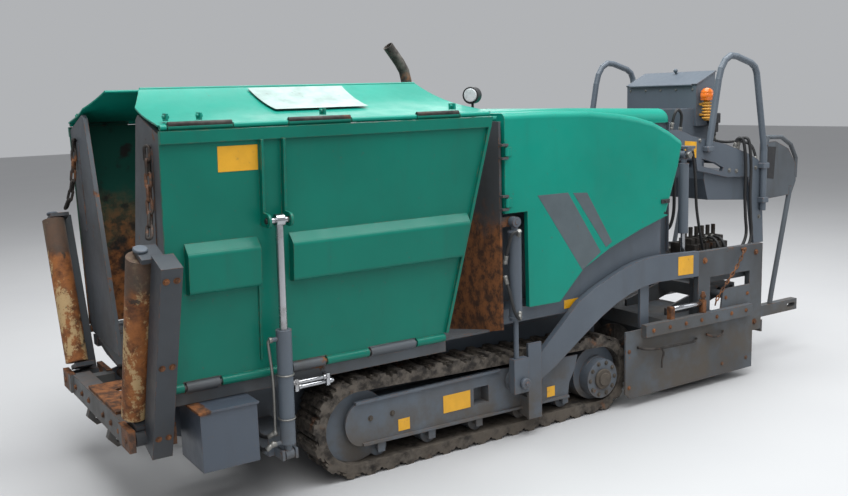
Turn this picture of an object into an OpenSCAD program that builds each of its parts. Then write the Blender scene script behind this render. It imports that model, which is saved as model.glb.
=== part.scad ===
// Compact asphalt paver on tracks, folded for transport.
// Stations along X are measured forward of the tractor's zero station, then
// moved by origin_x so that the origin lies under the middle of the machine.
// X is forward, Y is to the machine's left, Z is up, and the ground is Z = 0.

/* [Overall] */
// Station of the origin
origin_x = 214; // [200:1:230]
// Thickness of the main steel plates
plate_t = 12; // [8:1:16]
// Thickness of the thin sheet panels
sheet_t = 6; // [4:1:8]
// Gap between moving pieces
move_gap = 6; // [5:0.5:8]
// Radial gap of a pin in its bore
pin_gap = 0.05; // [0.03:0.01:0.1]

/* [Tracks] */
// Distance from the middle to the outer face of a track
track_outer_y = 610; // [590:1:640]
// Width of a track
track_w = 185; // [150:1:200]
// Station of the front idler wheel
idler_x = 1350; // [1300:1:1400]
// Radius of the track around the idler
idler_r = 222; // [205:1:230]
// Station of the rear sprocket
sprocket_x = -40; // [-90:1:0]
// Radius of the track around the sprocket
sprocket_r = 200; // [190:1:215]
// Height of the shoes' grousers
grouser_h = 22; // [16:1:28]
// Thickness of the chain and shoe plates inside the grousers
chain_h = 38; // [30:1:44]
// Number of shoes in a track
shoe_n = 40; // [36:1:44]
// Radius of the bottom rollers
roller_r = 42; // [36:1:46]
// Number of bottom rollers in a track frame
roller_n = 5; // [4:1:6]
// Height of the track frame's lower edge
frame_low_z = 135; // [125:1:145]
// Height of the track frame's upper edge
frame_top_z = 330; // [315:1:335]

/* [Hopper] */
// Station of the hopper's front face
hopper_front = 2150; // [2120:1:2180]
// Station of the wing's rear corner at its top
wing_rear_top = 676; // [650:1:700]
// Station of the wing's rear corner at its bottom
wing_rear_low = 899; // [880:1:920]
// Distance of the wing hinges from the middle
hinge_y = 617; // [605:1:630]
// Height of the wing hinges
hinge_z = 551; // [545:1:560]
// Length of the wing from its hinge to its rim
wing_h = 972; // [940:1:990]
// Lean of the folded wing from the vertical
wing_lean = 4.2; // [3:0.1:6]
// Thickness of the wing's skin
skin_t = 8; // [6:1:10]
// Height of the rim band along the wing's top
rim_h = 45; // [35:1:55]
// How far the rim band stands out
rim_out = 14; // [10:1:18]
// How far the box ribs stand out
rib_out = 42; // [30:1:50]
// Height of the box ribs' lower edge above the hinge
rib_low = 362; // [340:1:380]
// Height of the box ribs
rib_h = 194; // [170:1:210]
// Radius of the hinge knuckles
knuckle_r = 18; // [15:1:20]
// Radius of the hinge pins
hinge_pin_r = 9; // [7:1:10]
// Distance of the flange's lower inner corner from the middle
flange_low_y = 122; // [100:1:140]
// Distance of the flange's upper inner corner from the middle
flange_top_y = 405; // [390:1:420]
// Half the width of the conveyor
conveyor_half = 190; // [170:1:200]
// Height of the conveyor's upper run
conveyor_z = 440; // [430:1:445]
// Spacing of the conveyor's bars
bar_pitch = 100; // [80:1:120]

/* [Roof flaps] */
// Reach of the flap inwards from its hinge line
flap_reach = 427; // [415:1:435]
// Rise of the flap's free edge above its plate at the hinge
flap_rise = 139; // [130:1:145]
// Reach of the middle of the flap's bend from the hinge line
bend_reach = 275; // [265:1:285]
// Rise of the middle of the flap's bend
bend_rise = 51; // [45:1:56]
// Radius of the flap's bend
bend_r = 850; // [700:10:900]
// Radius of the flap's hinge knuckles
flap_knuckle_r = 10; // [8:1:11]
// Thickness of the flap
flap_t = 6; // [5:1:8]

/* [Wing cylinders] */
// Station of the wing cylinders
wing_cyl_x = 1722; // [1700:1:1740]
// Distance of the rod's eye from the wing's skin
eye_out = 60; // [55:1:66]
// Height of the rod's eye above the hinge, along the wing
eye_up = 622; // [600:1:640]
// Distance of the cylinder's foot from the middle
foot_y = 692; // [680:1:700]
// Height of the cylinder's foot
foot_z = 224; // [210:1:240]
// Length of the barrel from its foot to its gland
wing_barrel_l = 512; // [480:1:530]
// Radius of the barrel
wing_barrel_r = 31; // [28:1:34]
// Radius of the rod
wing_rod_r = 16; // [13:1:18]

/* [Push rollers] */
// Distance of the arm's pivot from the middle
arm_pivot_y = 500; // [490:1:510]
// Height of the arm's pivot
arm_pivot_z = 355; // [345:1:365]
// Lean of the folded arm from the vertical
arm_lean = 20.3; // [18:0.1:22]
// Length of the arm from its pivot
arm_l = 790; // [760:1:800]
// Depth of the arm across its length
arm_d = 108; // [95:1:115]
// Width of the arm along the machine
arm_w = 78; // [70:1:80]
// Radius of the push roller
push_r = 50; // [44:1:54]
// Length of the push roller
push_l = 690; // [650:1:700]
// Radius of the arm's pivot pin
arm_pin_r = 15; // [12:1:18]

/* [Engine bay] */
// Distance of the covers' outer face from the middle
cover_y = 662; // [656:1:668]
// Station of the covers' front edge
cover_front = 588; // [584:1:592]
// Height of the hood's top
hood_z = 1536; // [1525:1:1545]
// Half the width of the hood
hood_half = 470; // [450:1:480]
// Station of the hood's rear end
hood_rear = -700; // [-720:1:-680]

/* [Screed] */
// Station of the tow point
tow_x = 518; // [510:1:526]
// Height of the tow point
tow_z = 281; // [275:1:287]
// Inner face of the tow arms
tow_arm_y = 616; // [614:1:620]
// Thickness of the tow arms
tow_arm_t = 32; // [28:1:34]
// Height of the screed's sole
sole_z = 50; // [48:1:60]
// Half the width of the screed's body
screed_half = 600; // [590:1:605]
// Station of the augers
auger_x = -375; // [-385:1:-370]
// Height of the augers
auger_z = 255; // [245:1:265]
// Radius of the auger flights
auger_r = 105; // [95:1:110]

/* [Hidden] */

green = "#0e8f76";
grey = "#5d6673";
dark = "#2e2c2a";
rust = "#8a4a22";
bright = "#c8ccd0";

// Basic shapes between named faces
module block(x0, x1, y0, y1, z0, z1) translate([x0, y0, z0]) cube([x1 - x0, y1 - y0, z1 - z0]);
module rod_x(x0, x1, y, z, r, fn = 48) translate([x0, y, z]) rotate([0, 90, 0])
    cylinder(r = r, h = x1 - x0, $fn = fn);
module rod_y(x, y0, y1, z, r, fn = 48) translate([x, y1, z]) rotate([90, 0, 0])
    cylinder(r = r, h = y1 - y0, $fn = fn);
module rod_z(x, y, z0, z1, r, fn = 48) translate([x, y, z0]) cylinder(r = r, h = z1 - z0, $fn = fn);
// A side view outline in X and Z, as thick as y0 to y1
module side_plate(y0, y1) translate([0, y1, 0]) rotate([90, 0, 0]) linear_extrude(y1 - y0) children();
// A cross section in Y and Z, as long as x0 to x1
module cross_plate(x0, x1) translate([x0, 0, 0]) rotate([90, 0, 90]) linear_extrude(x1 - x0) children();
// The machine's left side as drawn, or its mirror image on the right
module on_side(side) {
    if (side > 0) children();
    else mirror([0, 1, 0]) children();
}
module both_sides() {
    children();
    mirror([0, 1, 0]) children();
}
module at_origin() translate([-origin_x, 0, 0]) children();

// Derived places of the tracks
track_in_y = track_outer_y - track_w;
band_h = chain_h + grouser_h;
chassis_y = track_in_y - 40;
wheel_in_y = track_in_y + 45;
wheel_out_y = track_outer_y - 45;

// The closed loop around idler and sprocket, drawn at a distance inside the outer face
module loop_shape(inset) hull() {
    translate([idler_x, idler_r]) circle(r = idler_r - inset, $fn = 96);
    translate([sprocket_x, sprocket_r]) circle(r = sprocket_r - inset, $fn = 96);
}

// The path of the shoes' feet: along the ground, round the idler, back on top, round the sprocket
top_run_a = asin((idler_r - sprocket_r) / norm([idler_x - sprocket_x, idler_r - sprocket_r]))
    + atan2(idler_r - sprocket_r, idler_x - sprocket_x);
run_l = idler_x - sprocket_x;
idler_arc = 180 + top_run_a;
sprocket_arc = 180 - top_run_a;
idler_arc_l = (idler_r - grouser_h) * idler_arc * PI / 180;
sprocket_arc_l = (sprocket_r - grouser_h) * sprocket_arc * PI / 180;
loop_l = 2 * run_l + idler_arc_l + sprocket_arc_l;
shoe_pitch = loop_l / shoe_n;
// A wheel's rim point at an angle from straight down, as [x, z, heading]
function rim(x, r, a) = [x + (r - grouser_h) * sin(a), r - (r - grouser_h) * cos(a), a];
function on_path(s) =
    s < run_l ? [sprocket_x + s, grouser_h, 0] :
    s < run_l + idler_arc_l ? rim(idler_x, idler_r, (s - run_l) / idler_arc_l * idler_arc) :
    s < 2 * run_l + idler_arc_l
        ? rim(idler_x, idler_r, idler_arc)
            + (s - run_l - idler_arc_l) * [cos(idler_arc), sin(idler_arc), 0] :
    rim(sprocket_x, sprocket_r, idler_arc + (s - 2 * run_l - idler_arc_l) / sprocket_arc_l * sprocket_arc);

// One shoe's lug in side view: its foot on the chain, its edge on the ground
module shoe_outline() polygon([
    [-0.46 * shoe_pitch, 1], [-0.40 * shoe_pitch, -0.45 * grouser_h], [-0.20 * shoe_pitch, -0.45 * grouser_h],
    [-0.16 * shoe_pitch, -grouser_h], [0.20 * shoe_pitch, -grouser_h], [0.26 * shoe_pitch, -0.45 * grouser_h],
    [0.40 * shoe_pitch, -0.45 * grouser_h], [0.46 * shoe_pitch, 1]
]);
module track() color(dark) side_plate(track_in_y, track_outer_y) intersection() {
    translate([sprocket_x - 2 * sprocket_r, 0]) square([run_l + 2 * (sprocket_r + idler_r), 3 * idler_r]);
    union() {
        difference() {
            loop_shape(grouser_h);
            loop_shape(band_h);
        }
        for (i = [0 : shoe_n - 1]) {
            p = on_path((i + 0.5) * shoe_pitch);
            translate([p[0], p[1]]) rotate(p[2]) shoe_outline();
        }
    }
}

// Track frame: side plates with a lipped outer plate, rollers, idler, sprocket and drive
frame_front_x = 1414;
frame_rear_x = 155;
rest_gap = 0.3;
idler_wheel_r = idler_r - band_h - rest_gap;
sprocket_wheel_r = sprocket_r - band_h - rest_gap;
frame_in_y = track_in_y + 12;
frame_out_y = track_outer_y - 12;
roller_z = band_h + rest_gap + roller_r;
motor_r = 100;
module frame_outline() {
    polygon([[frame_front_x - 80, frame_low_z], [frame_front_x - 80, frame_top_z], [590, frame_top_z + 8],
        [100, frame_top_z - 6], [118, 255], [frame_rear_x, 190], [frame_rear_x + 10, frame_low_z - 16]]);
    translate([frame_front_x - 80, (frame_low_z + frame_top_z) / 2])
        scale([0.82, 1]) circle(r = (frame_top_z - frame_low_z) / 2, $fn = 64);
}
module frame_lip(z0, z1, x0, x1, t) polygon([[x0, z0], [x1, z1], [x1, z1 + t], [x0, z0 + t]]);
module track_frame() {
    color(grey) {
        difference() {
            union() {
                side_plate(frame_out_y - plate_t, frame_out_y) frame_outline();
                // Cross box that joins both plates to the chassis
                block(190, 1290, chassis_y, frame_out_y - 1, 183, frame_top_z - 20);
            }
            // Inspection window through the outer plate into the box
            block(655, 740, frame_out_y - 60, frame_out_y + 1, 195, 275);
        }
        side_plate(frame_out_y - plate_t, track_outer_y) {
            frame_lip(frame_low_z - 16, frame_low_z, frame_rear_x + 10, frame_front_x - 80, plate_t);
            frame_lip(frame_top_z, frame_top_z - 6, 590, frame_front_x - 50, plate_t);
        }
        side_plate(frame_in_y, frame_in_y + plate_t) frame_outline();
    }
    color(dark) {
        for (i = [0 : roller_n - 1]) {
            x = 180 + i * (1240 - 180) / (roller_n - 1);
            rod_y(x, wheel_in_y, wheel_out_y, roller_z, roller_r, 32);
            rod_y(x, frame_in_y + 1, frame_out_y - 1, roller_z, 14, 24);
            for (y = [frame_in_y + 1, frame_out_y - plate_t])
                block(x - 18, x + 18, y, y + plate_t - 1, roller_z - 16, frame_low_z + 4);
        }
        rod_y(idler_x, wheel_in_y, wheel_out_y, idler_r, idler_wheel_r);
        rod_y(idler_x, frame_in_y + 1, frame_out_y - 1, idler_r, 26, 32);
        rod_y(sprocket_x, wheel_in_y, wheel_out_y, sprocket_r, sprocket_wheel_r);
        rod_y(sprocket_x, chassis_y, wheel_out_y + 20, sprocket_r, 88);
        rod_y(sprocket_x, wheel_out_y, track_outer_y + 18, sprocket_r - 20, motor_r);
    }
    tow_post();
}

// Chassis between the tracks
chassis_rear = -210;
chassis_low = 205;
chassis_top = 470;
module chassis() color(grey) {
    both_sides() {
        side_plate(chassis_y - plate_t, chassis_y) polygon([
            [hopper_front - 30, 300], [hopper_front - 30, chassis_top - 70], [hopper_front - 330, chassis_top],
            [chassis_rear, chassis_top], [chassis_rear, chassis_low + 60], [chassis_rear + 120, chassis_low],
            [hopper_front - 330, chassis_low]]);
        // Foot of the wing cylinder, out to the clevis around its eye
        block(wing_cyl_x - 60, wing_cyl_x + 60, chassis_y, foot_y - 60, foot_z - 20, foot_z + 60);
        for (s = [-1, 1])
            side_plate_x(wing_cyl_x + s * 28, foot_y - 62, foot_y + 20, foot_z - 20, foot_z + 22);
        rod_x(wing_cyl_x - 36, wing_cyl_x + 36, foot_y, foot_z, 13, 32);
    }
    block(chassis_rear + 60, hopper_front - 400, 1 - chassis_y, chassis_y - 1,
        chassis_low, chassis_low + plate_t);
    block(chassis_rear, chassis_rear + plate_t, 1 - chassis_y, chassis_y - 1, chassis_low + 14, 305);
}
// A small plate across X, centred on its station
module side_plate_x(x, y0, y1, z0, z1) block(x - 6, x + 6, y0, y1, z0, z1);

// Fixed knuckles of the wing hinges and the wing's own knuckles, as [rear station, front station]
fixed_knuckles = [[1068, 1290], [1508, 1653], [1962, 2094]];
wing_knuckles = [[910, 1058], [1300, 1498], [1663, 1952], [2104, 2146]];

module hopper_base() {
    color(grey) both_sides() {
        block(wing_rear_low - 10, hopper_front - 10, 530, 598, 478, 527);
        // Floor from the hinge beam down to the conveyor
        cross_plate(wall_x, hopper_front - 14) polygon([
            [560, 527], [conveyor_half + 12, conveyor_z + 22], [conveyor_half + 12, conveyor_z + 12],
            [chassis_y - plate_t, chassis_top], [chassis_y, chassis_top], [560, 515]]);
        for (k = fixed_knuckles) {
            cross_plate(k[0], k[1]) polygon([[570, 520], [598, 520], [hinge_y, hinge_z - 14],
                [hinge_y - 15, hinge_z - 4], [570, 530]]);
        }
    }
    color(rust) both_sides() {
        for (k = fixed_knuckles) rod_x(k[0], k[1], hinge_y, hinge_z, knuckle_r);
        rod_x(wing_knuckles[0][0] - 6, hopper_front - 2, hinge_y, hinge_z, hinge_pin_r, 32);
    }
}

// Steel wall behind the hopper, open where the conveyor runs through
wall_x = 612;
tunnel_top = 700;
module hopper_rear_wall() color(grey) difference() {
    union() {
        cross_plate(wall_x - plate_t, wall_x) polygon([
            [-645, 540], [-chassis_y, chassis_top], [plate_t - chassis_y, chassis_top],
            [plate_t - chassis_y, 452], [chassis_y - plate_t, 452], [chassis_y - plate_t, chassis_top],
            [chassis_y, chassis_top], [645, 540], [645, 1495], [-645, 1495]]);
        both_sides() {
            block(wall_x - plate_t, wall_x, 640, 652, 540, 1495);
            // Ears that hold the levelling cylinders and the covers' hinge pins
            block(level_x - 22, wall_x, 640, 650, 1018, 1064);
            for (z = [1096, 1156, 1326, 1386]) {
                block(wall_x - plate_t, wall_x, 640, cover_hinge_y + 8, z, z + 10);
                block(cover_hinge_x - 5, wall_x, cover_y + 2, cover_hinge_y + 8, z, z + 10);
            }
            rod_z(cover_hinge_x, cover_hinge_y, 1096, 1166, 5, 32);
            rod_z(cover_hinge_x, cover_hinge_y, 1326, 1396, 5, 32);
        }
    }
    block(wall_x - 50, wall_x + 10, -conveyor_half - 14, conveyor_half + 14, 400, tunnel_top);
}

// Bar conveyor: two chains with bars between them around a front and a rear shaft
conveyor_front = 2080;
conveyor_rear = -150;
conveyor_r = 52;
conveyor_mid_z = conveyor_z - conveyor_r - 8;
bar_n = floor((conveyor_front - conveyor_rear) / bar_pitch);
module chain_loop(r) hull() {
    translate([conveyor_front, conveyor_mid_z]) circle(r = r, $fn = 32);
    translate([conveyor_rear, conveyor_mid_z]) circle(r = r, $fn = 32);
}
module bar_conveyor() {
    color(dark) {
        both_sides() side_plate(conveyor_half - 34, conveyor_half - 10) difference() {
            chain_loop(conveyor_r);
            chain_loop(conveyor_r - 14);
        }
        for (i = [0 : bar_n]) for (s = [-1, 1])
            block(conveyor_rear + i * bar_pitch, conveyor_rear + i * bar_pitch + 22,
                12 - conveyor_half, conveyor_half - 12,
                conveyor_mid_z + s * conveyor_r - 8, conveyor_mid_z + s * conveyor_r + 8);
        for (x = [conveyor_front, conveyor_rear]) {
            rod_y(x, plate_t - chassis_y, chassis_y - plate_t, conveyor_mid_z, 22, 32);
            both_sides() rod_y(x, conveyor_half - 32, conveyor_half - 12, conveyor_mid_z, conveyor_r - 13, 32);
        }
    }
}

// Front crossmember with the push arms' pivots
member_x = 2290;
member_low_z = 300;
member_top_z = 396;
module front_crossmember() {
    color(grey) {
        block(member_x - 80, member_x, -425, 425, member_low_z, member_top_z);
        both_sides() {
            block(hopper_front - 30, member_x - 60, chassis_y - 60, chassis_y, 305, 392);
            // Pivot cheeks before and behind the arm's foot
            block(hopper_front - 28, hopper_front - 3, chassis_y - 20, arm_pivot_y + 50, 315, 400);
            block(member_x - 12, member_x + 14, 400, arm_pivot_y + 45, 312, 398);
        }
    }
    color(rust) both_sides()
        rod_x(hopper_front - 20, member_x + 20, arm_pivot_y, arm_pivot_z, arm_pin_r, 32);
}
// Plate with the hitch pin's hole and a slot, on the member
module hitch_plate() color(rust) difference() {
    block(member_x - 160, member_x - 6, -140, 300, member_top_z, member_top_z + plate_t);
    rod_z(member_x - 112, 0, member_top_z - 6, member_top_z + 24, 24);
    block(member_x - 110, member_x - 70, 120, 220, member_top_z - 6, member_top_z + 24);
}
// Tow hooks under the member
module tow_hooks() color(rust) both_sides() difference() {
    side_plate(150, 185) polygon([[member_x - 90, member_low_z], [member_x - 6, member_low_z],
        [member_x + 6, 262], [member_x - 30, 222], [member_x - 90, 232], [member_x - 130, 288]]);
    rod_y(member_x - 45, 140, 195, 258, 18);
}

// Sheet steel tool box on the left side only
tool_x = wing_cyl_x + 133;
tool_l = 228;
tool_in_y = 480;
tool_out_y = 722;
module tool_box() color(grey) {
    block(tool_x, tool_x + tool_l, tool_in_y, tool_out_y, 238, 474);
    block(tool_x - 7, tool_x + tool_l + 7, tool_in_y - 4, tool_out_y + 6, 468, 476);
    block(tool_x + 45, tool_x + tool_l - 43, chassis_y, tool_in_y + 2, 300, 420);
}

// Wing in its own frame: X along the machine, Y out from the skin, Z up the skin from the hinge
module in_wing() translate([0, hinge_y, hinge_z]) rotate([-wing_lean, 0, 0]) children();
function wing_rear_at(h) = wing_rear_low + (wing_rear_top - wing_rear_low) * h / wing_h;
rib_top = rib_low + rib_h;
stiff_x = [wing_cyl_x - 45, wing_cyl_x + 45];
// A box rib with a small roll along its lower edge and a larger one along its upper edge
rib_roll_low = 16;
rib_roll_top = 22;
module rib(x0, x1) {
    cross_plate(x0, x1) polygon([
        [-1, rib_low], [rib_out - 14, rib_low + 4], [rib_out, rib_low + 20], [rib_out, rib_top - 48],
        [rib_out - 7, rib_top - 31], [-1, rib_top]]);
    rod_x(x0, x1, rib_out - rib_roll_low, rib_low + 20, rib_roll_low + 0.2);
    rod_x(x0, x1, rib_out - rib_roll_top, rib_top - 48, rib_roll_top + 0.2);
}
module wing() color(green) in_wing() {
    skin_foot = knuckle_r + 5;
    side_plate(-skin_t, 0) polygon([
        [hopper_front, skin_foot], [hopper_front, wing_h], [wing_rear_top, wing_h],
        [wing_rear_low, skin_foot]]);
    // Knuckles with their webs up to the skin
    for (k = wing_knuckles) difference() {
        union() {
            rod_x(k[0], k[1], 0, 0, knuckle_r);
            block(k[0], k[1], -skin_t, 0, 5, skin_foot + 2);
        }
        rod_x(k[0] - 1, k[1] + 1, 0, 0, hinge_pin_r + pin_gap, 32);
    }
    // Rim band and rear edge bead
    block(wing_rear_top + 8, hopper_front, -1, rim_out, wing_h - rim_h, wing_h);
    side_plate(-1, rim_out) polygon([
        [wing_rear_at(skin_foot), skin_foot], [wing_rear_at(skin_foot) + 14, skin_foot],
        [wing_rear_at(wing_h) + 14, wing_h], [wing_rear_at(wing_h), wing_h]]);
    // Box ribs before and behind the cylinder
    rib(stiff_x[1] + 22, 2076);
    intersection() {
        rib(wing_rear_top, stiff_x[0] - 22);
        side_plate(-2, rib_out + 1) polygon([
            [wing_rear_at(rib_low) + 26, rib_low - 1], [wing_rear_at(rib_top) + 26, rib_top + 1],
            [stiff_x[0], rib_top + 1], [stiff_x[0], rib_low - 1]]);
    }
    // Stiffeners that end in the ears around the rod's eye
    for (x = stiff_x) {
        block(x - 5, x + 5, -1, 26, eye_up, wing_h - rim_h + 1);
        difference() {
            union() {
                rod_x(x - 5, x + 5, eye_out, eye_up, 27, 32);
                side_plate_wing(x);
            }
            rod_x(x - 9, x + 9, eye_out, eye_up, 14, 32);
        }
    }
    block(wing_cyl_x + 60, wing_cyl_x + 68, -1, 10, 60, rib_low);
    // Fixed knuckles of the roof flap along the rim
    for (k = flap_fixed) {
        rod_x(k[0], k[1], flap_pin_out, flap_pin_up, flap_knuckle_r, 32);
        block(k[0], k[1], flap_pin_out - 4, flap_pin_out + 4, wing_h - 1, flap_pin_up);
    }
    rod_x(flap_moving[0][0] + 2, flap_moving[3][1] - 2, flap_pin_out, flap_pin_up, 4.5, 24);
}
module side_plate_wing(x) block(x - 5, x + 5, -1, eye_out, eye_up - 27, eye_up + 27);

// Flap hinge line in the wing's frame
flap_pin_out = -5;
flap_pin_up = wing_h + 12;
flap_fixed = [[850, 1063], [1375, 1645], [1872, 2116]];
flap_moving = [[690, 846], [1067, 1371], [1649, 1868], [2120, 2144]];

// Front flange plate of the wing, with its angle bar
module wing_flange() color(grey) {
    in_wing() cross_plate(hopper_front - 24, hopper_front - 4) polygon([
        to_wing(flange_low_y, 520), to_wing(hinge_y - 50, 545), [-skin_t, 40], [-skin_t, wing_h - 16],
        to_wing(flange_top_y + 30, 1578), to_wing(flange_top_y, 1560)]);
    cross_plate(hopper_front - 5, hopper_front) polygon([
        [500, 1040], [558, 1040], [590, 1455], [534, 1455]]);
}
// A point of the machine's cross section in the wing's own frame
function to_wing(y, z) = [(y - hinge_y) * cos(wing_lean) - (z - hinge_z) * sin(wing_lean),
    (y - hinge_y) * sin(wing_lean) + (z - hinge_z) * cos(wing_lean)];

// Roof flap: a bent plate cut to its plan, hinged on the wing's rim
function in_wing_y(out, up) = hinge_y + out * cos(wing_lean) + up * sin(wing_lean);
function in_wing_z(out, up) = hinge_z - out * sin(wing_lean) + up * cos(wing_lean);
flap_pin_y = in_wing_y(flap_pin_out, flap_pin_up);
flap_pin_z = in_wing_z(flap_pin_out, flap_pin_up);
flap_a1 = atan2(bend_rise, bend_reach);
flap_a2 = atan2(flap_rise - bend_rise, flap_reach - bend_reach);
flap_front = hopper_front - 70;
flap_rear = wing_rear_top + 126;
// Down a slope towards the hinge, and a flat strip of the flap's section between two points of its upper face
function down_slope(a) = [cos(a), -sin(a)];
module flap_strip(p, q, a) polygon([p, q, q - flap_t * [sin(a), cos(a)], p - flap_t * [sin(a), cos(a)]]);
module roof_flap() color(green) {
    y0 = flap_pin_y;
    z0 = flap_pin_z + flap_knuckle_r;
    ridge_y = y0 - flap_reach;
    ridge_z = z0 + flap_rise;
    bend = [y0 - bend_reach, z0 + bend_rise];
    // The bend's arc touches both strips, a hair thicker than they are, with its middle high above the flap
    run = bend_r * tan((flap_a2 - flap_a1) / 2);
    hair = 0.1;
    lap = 3;
    p1 = bend + run * down_slope(flap_a1);
    p2 = bend - run * down_slope(flap_a2);
    centre = p1 + bend_r * [sin(flap_a1), cos(flap_a1)];
    difference() {
        union() {
            intersection() {
                union() {
                    cross_plate(wing_rear_top, hopper_front) {
                        flap_strip([y0 - 1, z0 + tan(flap_a1)], p1 - lap * down_slope(flap_a1), flap_a1);
                        flap_strip(p2 + lap * down_slope(flap_a2), [ridge_y, ridge_z], flap_a2);
                    }
                    translate([wing_rear_top, centre[0], centre[1]]) rotate([0, 90, 0]) rotate(-flap_a2)
                        rotate_extrude(angle = flap_a2 - flap_a1, $fn = 240)
                            translate([bend_r - hair, 0])
                                square([flap_t + 2 * hair, hopper_front - wing_rear_top]);
                }
                translate([0, 0, z0 - 50]) linear_extrude(flap_rise + 100) polygon([
                    [wing_rear_top, y0 + 5], [wing_rear_top + 4, y0 - 20], [flap_rear, ridge_y],
                    [flap_front, ridge_y], [hopper_front - 4, bend[0]], [hopper_front, y0 - 20],
                    [hopper_front, y0 + 5]]);
            }
            for (k = flap_moving) rod_x(k[0], k[1], flap_pin_y, flap_pin_z, flap_knuckle_r, 32);
            rod_x(flap_rear, flap_front, ridge_y + 4, ridge_z - 6, 7, 24);
        }
        for (k = flap_fixed)
            rod_x(k[0] - 4, k[1] + 4, flap_pin_y, flap_pin_z, flap_knuckle_r + 3, 32);
        rod_x(wing_rear_top, hopper_front, flap_pin_y, flap_pin_z, 5, 24);
    }
}

// Wing cylinder between its foot on the chassis and the ears on the wing
eye_y = in_wing_y(eye_out, eye_up);
eye_z = in_wing_z(eye_out, eye_up);
wing_cyl_lean = atan2(eye_y - foot_y, eye_z - foot_z);
wing_cyl_l = norm([eye_y - foot_y, eye_z - foot_z]);
module in_wing_cyl() translate([wing_cyl_x, foot_y, foot_z]) rotate([-wing_cyl_lean, 0, 0]) children();
module wing_barrel() color(grey) in_wing_cyl() {
    difference() {
        union() {
            rod_x(-18, 18, 0, 0, 22, 32);
            rod_z(0, 0, 0, 46, 16);
        }
        rod_x(-20, 20, 0, 0, 13 + pin_gap, 32);
    }
    difference() {
        rod_z(0, 0, 45, wing_barrel_l, wing_barrel_r);
        rod_z(0, 0, 60, wing_barrel_l + 1, wing_rod_r + 0.5);
    }
    // Ports for the hoses
    rod_x(wing_barrel_r - 2, wing_barrel_r + 26, 0, 52, 9, 24);
    rod_x(wing_barrel_r - 2, wing_barrel_r + 26, 0, wing_barrel_l - 34, 9, 24);
}
module wing_rod() color(bright) in_wing_cyl() {
    rod_z(0, 0, 320, wing_cyl_l - 10, wing_rod_r);
    translate([0, 0, wing_cyl_l]) {
        rod_x(-17, 17, 0, 0, 24, 32);
        rod_x(-34, 34, 0, 0, 11, 32);
    }
}

// Push roller arm in its own frame: Y out, Z along the arm from its pivot
module in_arm() translate([0, arm_pivot_y, arm_pivot_z]) rotate([-arm_lean, 0, 0]) children();
arm_x0 = hopper_front + move_gap;
roller_x = arm_x0 + 98;
roller_out = -60;
roller_up = 66;
module push_arm() in_arm() {
    color(grey) {
        difference() {
            union() {
                block(arm_x0, arm_x0 + arm_w, 2, arm_d, -34, arm_l);
                rod_x(arm_x0, member_x - 18, 0, 0, 34);
                block(arm_x0, arm_x0 + arm_w, -34, 3, -20, 26);
            }
            rod_x(arm_x0 - 1, member_x, 0, 0, arm_pin_r + pin_gap, 32);
        }
    }
    color(rust) {
        // Brackets below and above the roller
        difference() {
            block(arm_x0 + 30, roller_x + 16, roller_out - 40, 8, 38, roller_up - move_gap - 2);
            rod_x(arm_x0 - 1, member_x, 0, 0, arm_pin_r + 1, 32);
        }
        top = roller_up + push_l;
        block(arm_x0 + 30, roller_x + 16, roller_out - 40, 8, top + move_gap, top + 24);
        rod_z(roller_x, roller_out, 56, roller_up + push_l + 30, 14, 32);
    }
}
module push_roller() color(rust) in_arm() difference() {
    rod_z(roller_x, roller_out, roller_up, roller_up + push_l, push_r, 64);
    rod_z(roller_x, roller_out, roller_up - 1, roller_up + push_l + 1, 14 + pin_gap, 32);
}

// Engine block, plain, at its real place on the deck
deck_z = 612;
module engine_block() color(dark) block(-330, 330, -230, 230, deck_z, 1180);

// Engine bay: side plates, sills, rear wall and mounts
side_y = 598;
module engine_bay() color(grey) {
    both_sides() {
        side_plate(side_y, side_y + 8) polygon([
            [wall_x - plate_t, 552], [171, 552], [-50, 655], [-250, 718], [-470, 742],
            [-470, 980], [-250, 930], [-40, 850], [140, 700], [260, 622], [wall_x - plate_t, 622]]);
        block(-470, wall_x - plate_t, hood_half - 30, side_y + 1, 612, 620);
        // Hood sill between the bay and the hood
        block(bay_rear, wall_x - plate_t, hood_half - 30, hood_half - 18, 612, hood_low_z);
    }
    block(-470, -462, -side_y, side_y, 742, 940);
    block(bay_rear, bay_rear + 8, -hood_half, hood_half, 742, hood_low_z);
    // Deck that carries the engine on the chassis
    block(-470, wall_x - plate_t, -hood_half + 18, hood_half - 18, deck_z - plate_t, deck_z);
    both_sides() block(-200, 520, chassis_y - plate_t, chassis_y, chassis_top, 600);
}

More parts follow.
